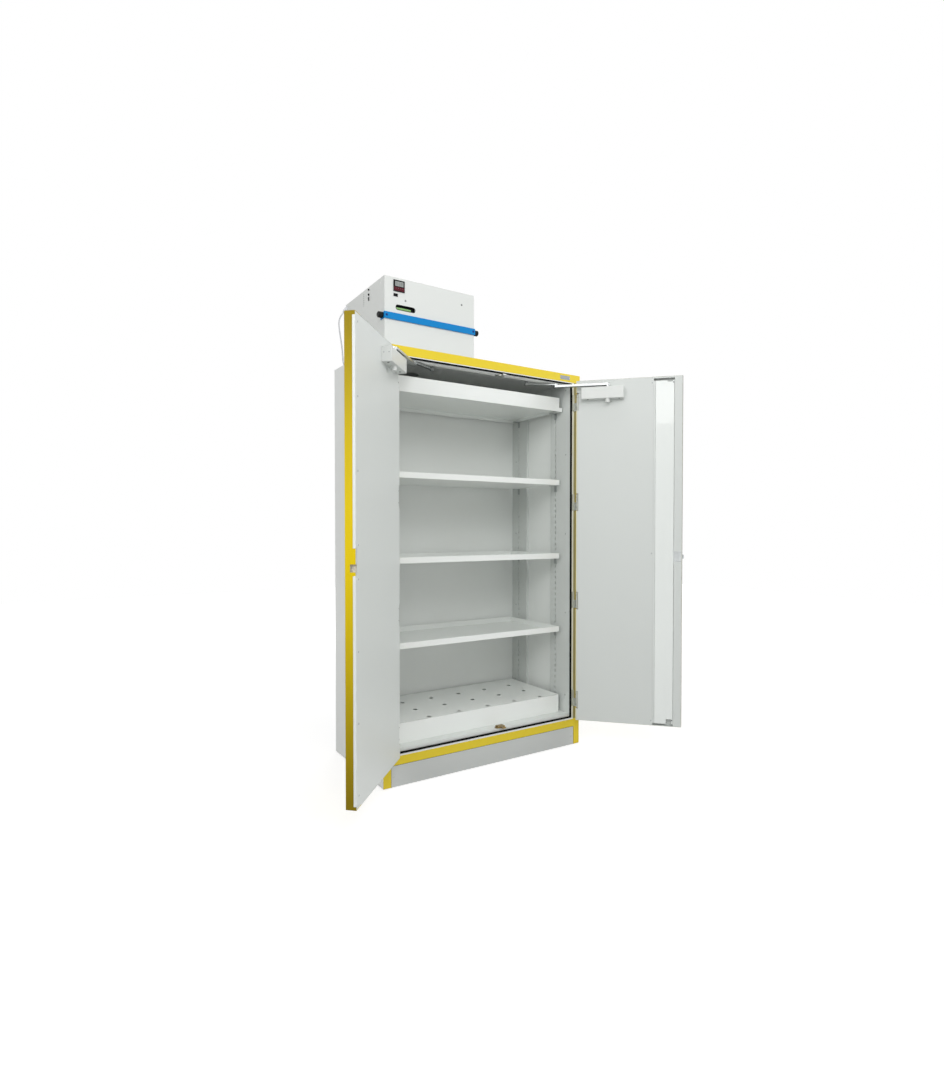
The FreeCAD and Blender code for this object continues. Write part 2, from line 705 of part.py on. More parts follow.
def plinth():
    """The kick panel with a screw near each end, and the levelling feet behind it."""
    panel = box(
        "kick_sheet",
        ("plinth_inset", "carcass_width - plinth_inset"),
        ("skin", "frame_sheet"),
        ("floor_gap", "plinth_height"),
    )
    solids = [panel]
    for side in SIDES:
        place_of = (across_point(side, "plinth_inset + post_width / 3"), "0", "plinth_height / 2")
        solids.append(rod(f"{side}_kick_screw", place_of, "knuckle_radius", "skin", "y"))
    keep(group("kick_panel", *solids), "plinth_panel")

    feet = []
    for side in SIDES:
        for end, depth in (("front", "foot_inset"), ("rear", "carcass_depth - foot_inset")):
            foot = turned(
                f"{side}_{end}_foot",
                (
                    ("0", "0"),
                    ("foot_radius", "0"),
                    ("foot_radius", "foot_pad / 2"),
                    ("foot_stud * 2", "foot_pad"),
                    ("foot_stud", "foot_pad"),
                    ("foot_stud", "plinth_height"),
                    ("0", "plinth_height"),
                ),
            )
            feet.append(place(foot, across_point(side, "foot_inset"), depth, "0"))
    keep(group("feet", *feet), "levelling_feet")


def shelf_uprights():
    """Four slotted channels, each standing on its open side against the liner."""
    solids = []
    rows = (
        ("front", LINER_FRONT, "front_upright_width", "front_slot_row", MOUTH_TOP),
        ("rear", "rear_upright_start", "interior_depth - rear_upright_start", "rear_slot_row", CEILING),
    )
    for side in SIDES:
        for end, start, width, slot_row, top in rows:
            name = f"{side}_{end}_upright"
            body = doc.addObject("PartDesign::Body", name)
            turn = 1 if side == "left" else -1
            face = f"{turn} * upright_proud"
            inner = f"{turn} * (upright_proud - skin)"
            profile = (
                ("0", "0"),
                (face, "0"),
                (face, width),
                ("0", width),
                ("0", f"{width} - skin"),
                (inner, f"{width} - skin"),
                (inner, "skin"),
                ("0", "skin"),
            )
            section = sketch(body, f"{name}_section", "XY_Plane", profile)
            pad(body, f"{name}_pad", section, f"{top} - floor_height")
            middle = f"({slot_row} - {start})"
            slot_low = "(slot_first - floor_height - slot_tall / 2)"
            slot = sketch(
                body,
                f"{name}_slot",
                "YZ_Plane",
                (
                    (f"{middle} - slot_wide / 2", slot_low),
                    (f"{middle} + slot_wide / 2", slot_low),
                    (f"{middle} + slot_wide / 2", f"{slot_low} + slot_tall"),
                    (f"{middle} - slot_wide / 2", f"{slot_low} + slot_tall"),
                ),
            )
            pocket = body.newObject("PartDesign::Pocket", f"{name}_pocket")
            pocket.Profile = slot
            pocket.Midplane = True
            bind(pocket, "Length", "4 * upright_proud")
            doc.recompute()
            row_of_slots = body.newObject("PartDesign::LinearPattern", f"{name}_slots")
            row_of_slots.Originals = [pocket]
            row_of_slots.Direction = (slot, ["V_Axis"])
            bind(row_of_slots, "Length", f"{UPRIGHT_SLOTS - 1} * slot_pitch")
            row_of_slots.Occurrences = UPRIGHT_SLOTS
            body.Tip = row_of_slots
            solids.append(place(body, across_point(side, "side_wall"), start, "floor_height"))
    keep(group("uprights", *solids), "shelf_uprights")


def shelf_clips():
    """Four clips under each shelf: a hook in the slot, a back plate and a ledge."""
    clips = []
    for level in range(4):
        under = f"(lower_shelf_height + {level} * shelf_spacing)"
        hooked = f"({under} - slot_pitch / 2)"
        for side in SIDES:
            for end, middle in (("front", "front_slot_row"), ("rear", "rear_slot_row")):
                name = f"clip_{level}_{side}_{end}"
                wide = (f"{middle} - clip_wide / 2", f"{middle} + clip_wide / 2")
                thin = (f"{middle} - slot_wide / 2 + clip_slack", f"{middle} + slot_wide / 2 - clip_slack")
                ledge = box(
                    f"{name}_ledge",
                    mirror(side, UPRIGHT_FACE, f"{UPRIGHT_FACE} + clip_reach"),
                    wide,
                    (f"{under} - clip_sheet", under),
                )
                plate = box(
                    f"{name}_plate",
                    mirror(side, UPRIGHT_FACE, f"{UPRIGHT_FACE} + clip_sheet"),
                    wide,
                    (f"{under} - clip_tall", under),
                )
                hook = box(
                    f"{name}_hook",
                    mirror(side, f"{UPRIGHT_FACE} - 3 * skin", f"{UPRIGHT_FACE} + clip_sheet"),
                    thin,
                    (f"{hooked} - slot_tall / 2 + clip_slack", f"{hooked} + slot_tall / 2 - clip_slack"),
                )
                clips.append(fuse(name, ledge, plate, hook))
    keep(group("clips", *clips), "shelf_clips")


def shelves():
    """Three tray shelves, the top shelf with its tray, and the sump with its drained insert."""
    ends = (f"{UPRIGHT_FACE} + shelf_gap", f"carcass_width - {UPRIGHT_FACE} - shelf_gap")
    depth = ("shelf_front", "shelf_front + shelf_depth")
    for level, node in enumerate(("lower_shelf", "middle_shelf", "upper_shelf")):
        under = f"lower_shelf_height + {level} * shelf_spacing"
        keep(tray(f"{node}_tray", ends, depth, (under, f"{under} + shelf_lip"), "shelf_sheet"), node)

    under = "(lower_shelf_height + 3 * shelf_spacing)"
    wide = (f"{UPRIGHT_FACE} + top_shelf_gap", f"carcass_width - {UPRIGHT_FACE} - top_shelf_gap")
    outer = box("top_shelf_outside", wide, depth, (under, f"{under} + top_shelf_lip"))
    hollow = box(
        "top_shelf_hollow",
        (f"{wide[0]} + shelf_sheet", f"{wide[1]} - shelf_sheet"),
        (f"{depth[0]} + shelf_sheet", f"{depth[1]} - shelf_sheet"),
        (f"{under} - shelf_sheet", f"{under} + top_shelf_lip - shelf_sheet"),
    )
    rests = []
    for side in SIDES:
        for end, middle in (("front", "front_slot_row"), ("rear", "rear_slot_row")):
            rests.append(
                box(
                    f"top_shelf_{side}_{end}_rest",
                    mirror(side, f"{UPRIGHT_FACE} + top_shelf_gap", f"{UPRIGHT_FACE} + clip_reach"),
                    (f"{middle} - clip_wide", f"{middle} + clip_wide"),
                    (under, f"{under} + shelf_sheet"),
                )
            )
    keep(fuse("top_shelf_folds", cut("top_shelf_pan", outer, hollow), *rests), "top_shelf")
    tray_low = f"{under} + top_shelf_lip"
    top_tray = tray(
        "top_tray_folds",
        ends,
        ("shelf_front + tray_inset", "shelf_front + shelf_depth - tray_inset"),
        (tray_low, f"{tray_low} + top_tray_tall"),
        "shelf_sheet",
    )
    keep(top_tray, "top_tray")

    sump_ends = (f"{UPRIGHT_FACE} + sump_gap", f"carcass_width - {UPRIGHT_FACE} - sump_gap")
    sump_back = ("sump_front", "sump_front + sump_depth")
    rim = "(floor_height + sump_tall)"
    keep(tray("sump_folds", sump_ends, sump_back, ("floor_height", rim), "shelf_sheet"), "sump_tray")

    plate = box("insert_plate", sump_ends, sump_back, (rim, f"{rim} + shelf_sheet"))
    set_in = "(shelf_sheet + insert_play)"
    skirt_outer = box(
        "insert_skirt_outside",
        (f"{sump_ends[0]} + {set_in}", f"{sump_ends[1]} - {set_in}"),
        (f"{sump_back[0]} + {set_in}", f"{sump_back[1]} - {set_in}"),
        (f"{rim} - insert_skirt", f"{rim} + shelf_sheet"),
    )
    skirt_inner = box(
        "insert_skirt_inside",
        (f"{sump_ends[0]} + {set_in} + shelf_sheet", f"{sump_ends[1]} - {set_in} - shelf_sheet"),
        (f"{sump_back[0]} + {set_in} + shelf_sheet", f"{sump_back[1]} - {set_in} - shelf_sheet"),
        (f"{rim} - insert_skirt - shelf_sheet", rim),
    )
    drains = []
    for row_of in range(DRAIN_ROWS):
        for column in range(DRAIN_COLUMNS):
            middle = f"({sump_ends[0]} + drain_inset + {column} * drain_pitch)"
            back_row = f"(sump_front + drain_margin + {row_of} * drain_row_pitch)"
            drain_at = (middle, back_row, f"{rim} - shelf_sheet")
            drains.append(rod(f"drain_{row_of}_{column}", drain_at, "drain_radius", "3 * shelf_sheet"))
    skirt = cut("insert_skirt_ring", skirt_outer, skirt_inner)
    keep(cut("insert_folds", fuse("insert_blank", plate, skirt), *drains), "perforated_insert")


def rod_keepers():
    """A foot and a bored tongue at the sill and at the header, where the lock rods go home."""
    middle = f"({door_point('right', 'rod_place')})"
    stops = (
        ("sill", "floor_height", 1),
        ("header", MOUTH_TOP, -1),
    )
    keepers = []
    for name, start, way in stops:
        foot_end = f"{start} + {way} * keeper_foot_tall"
        plate_end = f"{start} + {way} * (keeper_foot_tall + keeper_plate_thick)"
        foot_span = (start, foot_end) if way > 0 else (foot_end, start)
        plate_span = (foot_end, plate_end) if way > 0 else (plate_end, foot_end)
        foot_back = (f"{LINER_FRONT} + skin", f"{LINER_FRONT} + skin + keeper_foot_deep")
        foot = box(
            f"{name}_keeper_foot",
            (f"{middle} - keeper_foot_wide / 2", f"{middle} + keeper_foot_wide / 2"),
            foot_back,
            foot_span,
        )
        plate = box(
            f"{name}_keeper_plate",
            (f"{middle} - keeper_plate_wide / 2", f"{middle} + keeper_plate_wide / 2"),
            ("0", foot_back[1]),
            plate_span,
        )
        tongue = box(
            f"{name}_keeper_tongue",
            (f"{middle} - keeper_tongue_wide / 2", f"{middle} + keeper_tongue_wide / 2"),
            ("-keeper_tongue_reach", "skin"),
            plate_span,
        )
        bore = rod(
            f"{name}_keeper_bore",
            (middle, "-door_stand - rod_back", f"{plate_span[0]} - skin"),
            "rod_radius + rod_play",
            "keeper_plate_thick + 2 * skin",
        )
        keepers.append(cut(f"{name}_keeper", fuse(f"{name}_keeper_blank", foot, plate, tongue), bore))
    keep(group("keepers", *keepers), "rod_keepers")


def hinges():
    """Four lift-off hinges on each side: pins stand in the frame leaves, doors hang on them."""
    frame_leaves = []
    for side in SIDES:
        pin_x = across_point(side, "door_side_gap + pin_inset")
        door_leaves = []
        for index, middle in enumerate(HINGES):
            name = f"{side}_hinge_{index}"
            low = f"{middle} - hinge_tall / 2"
            high = f"{middle} + hinge_tall / 2"
            web_span = mirror(
                side,
                "door_side_gap + pin_inset - leaf_sheet / 2",
                "door_side_gap + pin_inset + leaf_sheet / 2",
            )
            foot_span = mirror(
                side,
                "door_side_gap + pin_inset - leaf_sheet / 2",
                f"{SEAL_SIDE} - seal_seat",
            )
            foot = box(f"{name}_foot", foot_span, ("-leaf_sheet", "0"), (low, high))
            web_top = f"{middle} - hinge_parting"
            web = box(f"{name}_web", web_span, (PIN_Y, "0"), (low, web_top))
            knuckle = rod(f"{name}_knuckle", (pin_x, PIN_Y, low), "knuckle_radius", f"{web_top} - ({low})")
            pin = rod(f"{name}_pin", (pin_x, PIN_Y, low), "pin_radius", "hinge_tall - leaf_sheet")
            frame_leaves.append(fuse(name, foot, web, knuckle, pin))

            plate_span = on_door(side, "(pocket_wide - leaf_sheet)", "pocket_wide")
            strip_span = on_door(side, "pin_inset", "pocket_wide")
            plate_front = f"{PIN_Y} - knuckle_radius"
            plate = box(f"{name}_plate", plate_span, (plate_front, f"{PANEL_FRONT}"), (low, high))
            strip_low = f"{middle} + hinge_parting"
            strip = box(
                f"{name}_strip",
                strip_span,
                (plate_front, f"{plate_front} + leaf_sheet"),
                (strip_low, high),
            )
            barrel = rod(
                f"{name}_barrel",
                (pin_x, PIN_Y, strip_low),
                "knuckle_radius",
                f"{high} - ({strip_low})",
            )
            bore = rod(f"{name}_bore", (pin_x, PIN_Y, low), "pin_radius + pin_play", "2 * hinge_tall")
            door_leaves.append(cut(f"{name}_leaf", fuse(f"{name}_leaf_blank", plate, strip, barrel), bore))
        keep(swing(group(f"{side}_leaves", *door_leaves), side), f"{side}_hinge_leaves")
    keep(group("frame_leaves", *frame_leaves), "hinge_frame_leaves")


def hinge_pockets(side):
    """The space that each hinge needs in a door's edge."""
    pockets = []
    for index, middle in enumerate(HINGES):
        pockets.append(
            box(
                f"{side}_pocket_{index}",
                on_door(side, "(-skin)", "pocket_wide"),
                (f"{DOOR_FRONT} + pocket_front", "skin"),
                (f"{middle} - hinge_tall / 2 - pocket_play", f"{middle} + hinge_tall / 2 + pocket_play"),
            )
        )
    return pockets


def strike_pocket():
    """The pocket in the left door's free edge that takes the latch bolt."""
    wide = DOOR_WIDE["left"]
    return box(
        "strike_pocket",
        on_door("left", f"({wide} - bolt_proud - bolt_room)", f"({wide} + skin)"),
        (f"{BOLT_MIDDLE} - bolt_thick / 2 - bolt_room", "skin"),
        ("lock_height - bolt_tall / 2 - bolt_room", "lock_height + bolt_tall / 2 + bolt_room"),
    )


def lock_bores(side):
    """The holes through the right door's leaf for the spindle, the key cylinder and the bolt."""
    if side == "left":
        return [strike_pocket()]
    front = f"{DOOR_FRONT} - skin"
    spindle = rod(
        "spindle_bore",
        (door_point(side, "rod_place"), front, "lock_height"),
        "spindle_radius + spindle_play",
        "door_thickness",
        "y",
    )
    key = rod(
        "key_bore",
        (door_point(side, "rod_place"), front, "lock_height - key_drop"),
        "key_radius + key_play",
        "key_long + 2 * skin",
        "y",
    )
    wide = DOOR_WIDE["right"]
    bolt = box(
        "bolt_way",
        on_door(side, f"({wide} - 2 * skin)", f"({wide} + skin)"),
        BOLT_GUIDE_BACK,
        BOLT_GUIDE_UP,
    )
    return [spindle, key, bolt]


def door_leaf(side):
    """One door: folded outer skin, insulating core and inner panel."""
    wide = DOOR_WIDE[side]
    whole_up = (DOOR_LOW, DOOR_TOP)
    inner_up = (f"{DOOR_LOW} + skin", f"{DOOR_TOP} - skin")
    openings = hinge_pockets(side) + lock_bores(side)
    outer = box(f"{side}_skin_outside", on_door(side, "0", wide), (DOOR_FRONT, DOOR_BACK), whole_up)
    hollow = box(
        f"{side}_skin_hollow",
        on_door(side, "skin", f"({wide} - skin)"),
        (f"{DOOR_FRONT} + skin", PANEL_FRONT),
        inner_up,
    )
    mouth = box(
        f"{side}_skin_mouth",
        on_door(side, "door_lip", f"({wide} - skin)"),
        (f"{PANEL_FRONT} - skin", "0"),
        inner_up,
    )
    void = fuse(f"{side}_skin_void", hollow, mouth)
    shell = cut(f"{side}_skin_shell", outer, void)
    keep(swing(cut(f"{side}_skin", shell, *openings), side), f"{side}_door_skin")

    core = box(
        f"{side}_core_block",
        on_door(side, "skin", f"({wide} - skin)"),
        (f"{DOOR_FRONT} + skin", PANEL_FRONT),
        inner_up,
    )
    panel = box(
        f"{side}_panel_sheet",
        on_door(side, "door_lip", f"({wide} - skin)"),
        (PANEL_FRONT, DOOR_BACK),
        inner_up,
    )
    if side == "right":
        recess_span = on_door(side, "recess_start", "(recess_start + recess_wide)")
        pan_span = on_door(side, "(recess_start - skin)", "(recess_start + recess_wide + skin)")
        recess_up = (f"{DOOR_LOW} + recess_foot", f"{DOOR_TOP} - recess_head")
        pan_up = (f"{DOOR_LOW} + recess_foot - skin", f"{DOOR_TOP} - recess_head + skin")
        recess_deep = ("-door_stand - recess_deep", "0")
        pan = box("recess_outside", pan_span, ("-door_stand - recess_deep - skin", PANEL_FRONT), pan_up)
        hollow_of_recess = box("recess_inside", recess_span, recess_deep, recess_up)
        case_room = box(
            "lock_case_room",
            on_door(side, "recess_start + recess_wide", f"({wide} - skin)"),
            ("-door_stand - recess_deep - 2 * skin", PANEL_FRONT),
            ("lock_height - lock_half", "lock_height + lock_half"),
        )
        plate_room = box(
            "lock_plate_room",
            on_door(side, "lock_start", "lock_plate_start + lock_plate_wide"),
            ("-door_stand - lock_deep", "0"),
            ("lock_height - lock_plate_half", "lock_height + lock_plate_half"),
        )
        panel = cut(
            "right_panel_recessed",
            fuse("right_panel_folds", panel, pan),
            hollow_of_recess,
            plate_room,
        )
        core = cut("right_core_recessed", core, pan, case_room)
    keep(swing(cut(f"{side}_core", core, *openings), side), f"{side}_door_core")
    keep(swing(cut(f"{side}_panel", panel, *openings), side), f"{side}_door_inner_panel")


def doors():
    """Both doors with the left door's edge trim."""
    for side in SIDES:
        door_leaf(side)
    wide = DOOR_WIDE["left"]
    trim_up = (f"{DOOR_LOW} + trim_foot", f"{DOOR_TOP} - trim_head")
    face = box(
        "trim_face_sheet",
        on_door("left", f"({wide} - trim_face)", f"({wide} + skin)"),
        (DOOR_BACK, f"{DOOR_BACK} + skin"),
        trim_up,
    )
    edge = box(
        "trim_edge_sheet",
        on_door("left", wide, f"({wide} + skin)"),
        (f"{DOOR_BACK} - trim_edge", f"{DOOR_BACK} + skin"),
        trim_up,
    )
    notch = box(
        "trim_notch",
        on_door("left", f"({wide} - trim_edge)", f"({wide} + 2 * skin)"),
        (f"{DOOR_BACK} - 2 * trim_edge", "0"),
        ("trim_notch_low", "trim_notch_low + trim_notch_tall"),
    )
    keep(swing(cut("trim", fuse("trim_folds", face, edge), notch), "left"), "left_door_edge_trim")


def lock_set():
    """The right door's lock: cover, case, bolt, two rods, handle and key cylinder."""
    side = "right"
    wide = DOOR_WIDE[side]
    rods_at = door_point(side, "rod_place")
    rods_back = "-door_stand - rod_back"
    cover_up = (f"{DOOR_LOW} + cover_foot", f"{DOOR_TOP} - cover_head")
    sheet_of_cover = box(
        "cover_sheet",
        on_door(side, "cover_start", "cover_start + cover_wide"),
        (PANEL_FRONT, DOOR_BACK),
        cover_up,
    )
    notches = []
    keeper_room = "(keeper_foot_tall + keeper_plate_thick + cover_notch / 4)"
    for name, span in (
        ("foot", (f"{DOOR_LOW}", f"floor_height + {keeper_room}")),
        ("head", (f"{MOUTH_TOP} - {keeper_room}", f"{DOOR_TOP}")),
    ):
        notches.append(
            box(
                f"cover_notch_{name}",
                on_door(side, "rod_place - cover_notch / 2", "rod_place + cover_notch / 2"),
                (f"{DOOR_BACK} - 2 * skin", "0"),
                span,
            )
        )
    lugs = []
    for index, height in enumerate(
        (
            f"{cover_up[0]} + cover_notch * 2",
            "lock_height - 2 * lock_half",
            f"{cover_up[1]} - cover_notch * 3",
        ),
    ):
        lugs.append(
            box(
                f"cover_lug_{index}",
                on_door(side, "cover_start + door_lip", "cover_start + 2 * door_lip"),
                ("-door_stand - recess_deep", PANEL_FRONT),
                (height, f"{height} + cover_notch"),
            )
        )
    cover = fuse("cover_folds", cut("cover_notched", sheet_of_cover, *notches), *lugs)
    keep(swing(cover, side), "lock_cover")

    case_front = "-door_stand - lock_deep"
    case = box(
        "case_block",
        on_door(side, "lock_start", "recess_start + recess_wide"),
        ("-door_stand - recess_deep", PANEL_FRONT),
        ("lock_height - lock_half", "lock_height + lock_half"),
    )
    nose = box(
        "case_nose",
        on_door(side, "lock_plate_start", f"({wide} - skin)"),
        ("-door_stand - recess_deep", PANEL_FRONT),
        ("lock_height - lock_plate_half", "lock_height + lock_plate_half"),
    )
    plate = box(
        "case_plate",
        on_door(side, "lock_plate_start", "lock_plate_start + lock_plate_wide"),
        (PANEL_FRONT, f"{DOOR_BACK} + lock_plate_proud"),
        ("lock_height - lock_plate_half", "lock_height + lock_plate_half"),
    )
    rod_way_low = rod(
        "rod_way_low",
        (rods_at, rods_back, "lock_height - 2 * lock_half"),
        "rod_radius + rod_play",
        "2 * lock_half - rod_stop + 2 * rod_play",
    )
    rod_way_high = rod(
        "rod_way_high",
        (rods_at, rods_back, "lock_height + rod_stop - 2 * rod_play"),
        "rod_radius + rod_play",
        "2 * lock_half",
    )
    bolt_way = box(
        "bolt_guide",
        on_door(side, f"({wide} - bolt_long - bolt_room)", f"({wide} + skin)"),
        BOLT_GUIDE_BACK,
        BOLT_GUIDE_UP,
    )
    spindle_way = rod(
        "spindle_way",
        (rods_at, DOOR_FRONT, "lock_height"),
        "spindle_radius + spindle_play",
        "door_thickness - rod_back - rod_radius",
        "y",
    )
    lock_case = cut(
        "lock_case_bored",
        fuse("lock_case_blank", case, nose, plate),
        rod_way_low,
        rod_way_high,
        bolt_way,
        spindle_way,
    )
    escutcheon = box(
        "escutcheon_plate",
        on_door(side, "rod_place - escutcheon_wide / 2", "rod_place + escutcheon_wide / 2"),
        (f"{DOOR_FRONT} - escutcheon_thick", DOOR_FRONT),
        ("lock_height - escutcheon_drop", "lock_height - escutcheon_drop + escutcheon_tall"),
    )
    plate_front = f"{DOOR_FRONT} - 2 * escutcheon_thick"
    spindle_hole = rod(
        "escutcheon_spindle",
        (rods_at, plate_front, "lock_height"),
        "spindle_radius + spindle_play",
        "3 * escutcheon_thick",
        "y",
    )
    key_hole = rod(
        "escutcheon_key",
        (rods_at, plate_front, "lock_height - key_drop"),
        "key_radius + key_play",
        "3 * escutcheon_thick",
        "y",
    )
    keep(
        swing(group("lock_parts", lock_case, cut("escutcheon", escutcheon, spindle_hole, key_hole)), side),
        "lock_case",
    )

    bolt = box(
        "bolt_bar",
        on_door(side, f"({wide} + bolt_proud - bolt_long)", f"({wide} + bolt_proud)"),
        (f"{BOLT_MIDDLE} - bolt_thick / 2", f"{BOLT_MIDDLE} + bolt_thick / 2"),
        ("lock_height - bolt_tall / 2", "lock_height + bolt_tall / 2"),
    )
    keep(swing(group("bolt_group", bolt), side), "latch_bolt")

    keeper_low = "(floor_height + keeper_foot_tall + keeper_plate_thick)"
    keeper_high = f"({MOUTH_TOP} - keeper_foot_tall - keeper_plate_thick)"
    low_start = f"{keeper_low} + rod_rest"
    low_rod = rod(
        "low_rod_bar",
        (rods_at, rods_back, low_start),
        "rod_radius",
        f"lock_height - rod_stop - ({low_start})",
    )
    keep(swing(group("low_rod_group", low_rod), side), "lower_lock_rod")
    high_start = "lock_height + rod_stop"
    high_rod = rod(
        "high_rod_bar",
        (rods_at, rods_back, high_start),
        "rod_radius",
        f"{keeper_high} - rod_rest - ({high_start})",
    )
    keep(swing(group("high_rod_group", high_rod), side), "upper_lock_rod")

    plate_face = f"{DOOR_FRONT} - escutcheon_thick"
    spindle = rod(
        "handle_spindle",
        (rods_at, f"{plate_face} - handle_stand", "lock_height"),
        "spindle_radius",
        f"handle_stand + escutcheon_thick + door_thickness - rod_back - rod_radius - spindle_stop",
        "y",
    )
    hub = rod(
        "handle_hub_bar",
        (rods_at, f"{plate_face} - handle_stand", "lock_height"),
        "handle_hub",
        "handle_stand - running_gap",
        "y",
    )
    grip_back = (f"{plate_face} - handle_stand", f"{plate_face} - handle_stand + handle_grip")
    grip = box(
        "handle_grip_bar",
        on_door(side, "rod_place - handle_wide / 2", "rod_place + handle_wide / 2"),
        grip_back,
        ("lock_height", "lock_height + handle_long - handle_wide / 2"),
    )
    tip = rod(
        "handle_tip",
        (rods_at, grip_back[0], "lock_height + handle_long - handle_wide / 2"),
        "handle_wide / 2",
        "handle_grip",
        "y",
    )
    keep(swing(fuse("handle_folds", spindle, hub, grip, tip), side), "door_handle")

    barrel = rod(
        "key_barrel",
        (rods_at, plate_face, "lock_height - key_drop"),
        "key_radius",
        "escutcheon_thick + key_long",
        "y",
    )
    head = rod(
        "key_head",
        (rods_at, f"{plate_face} - 2 * skin", "lock_height - key_drop"),
        "key_radius + 2 * skin",
        "2 * skin - running_gap",
        "y",
    )
    way = box(
        "key_way",
        on_door(side, "rod_place - skin / 2", "rod_place + skin / 2"),
        (f"{plate_face} - 3 * skin", f"{plate_face} + escutcheon_thick"),
        ("lock_height - key_drop - key_radius / 2", "lock_height - key_drop + key_radius / 2"),
    )
    neck = rod(
        "key_neck",
        (rods_at, f"{plate_face} - skin", "lock_height - key_drop"),
        "key_radius",
        "2 * skin",
        "y",
    )
    keep(swing(cut("key_folds", fuse("key_blank", barrel, head, neck), way), side), "key_cylinder")


def open_point(side, across, back):
    """Where a point of the shut door lies when the door rests open, in the cabinet's own frame."""
    turn = math.radians(-number("open_angle") if side == "left" else number("open_angle"))
    half_width = number("carcass_width") / 2
    half_depth = number("carcass_depth") / 2
    pin = Vector(
        number(across_point(side, "door_side_gap + pin_inset")) - half_width,
        number(PIN_Y) - half_depth,
        0,
    )
    point = Vector(number(across_point(side, across)) - half_width, number(back) - half_depth, 0)
    away = point - pin
    turned_x = away.x * math.cos(turn) - away.y * math.sin(turn)
    turned_y = away.x * math.sin(turn) + away.y * math.cos(turn)
    return pin + Vector(turned_x, turned_y, 0)


def fixed_point(side, across, back):
    """A point of the carcass in the cabinet's own frame."""
    half_width = number("carcass_width") / 2
    half_depth = number("carcass_depth") / 2
    return Vector(number(across_point(side, across)) - half_width, number(back) - half_depth, 0)


ARM_LOW = f"({DOOR_TOP} - closer_drop + arm_lift)"
LINK_LOW = f"({ARM_LOW} + arm_thick + rod_arm_gap)"


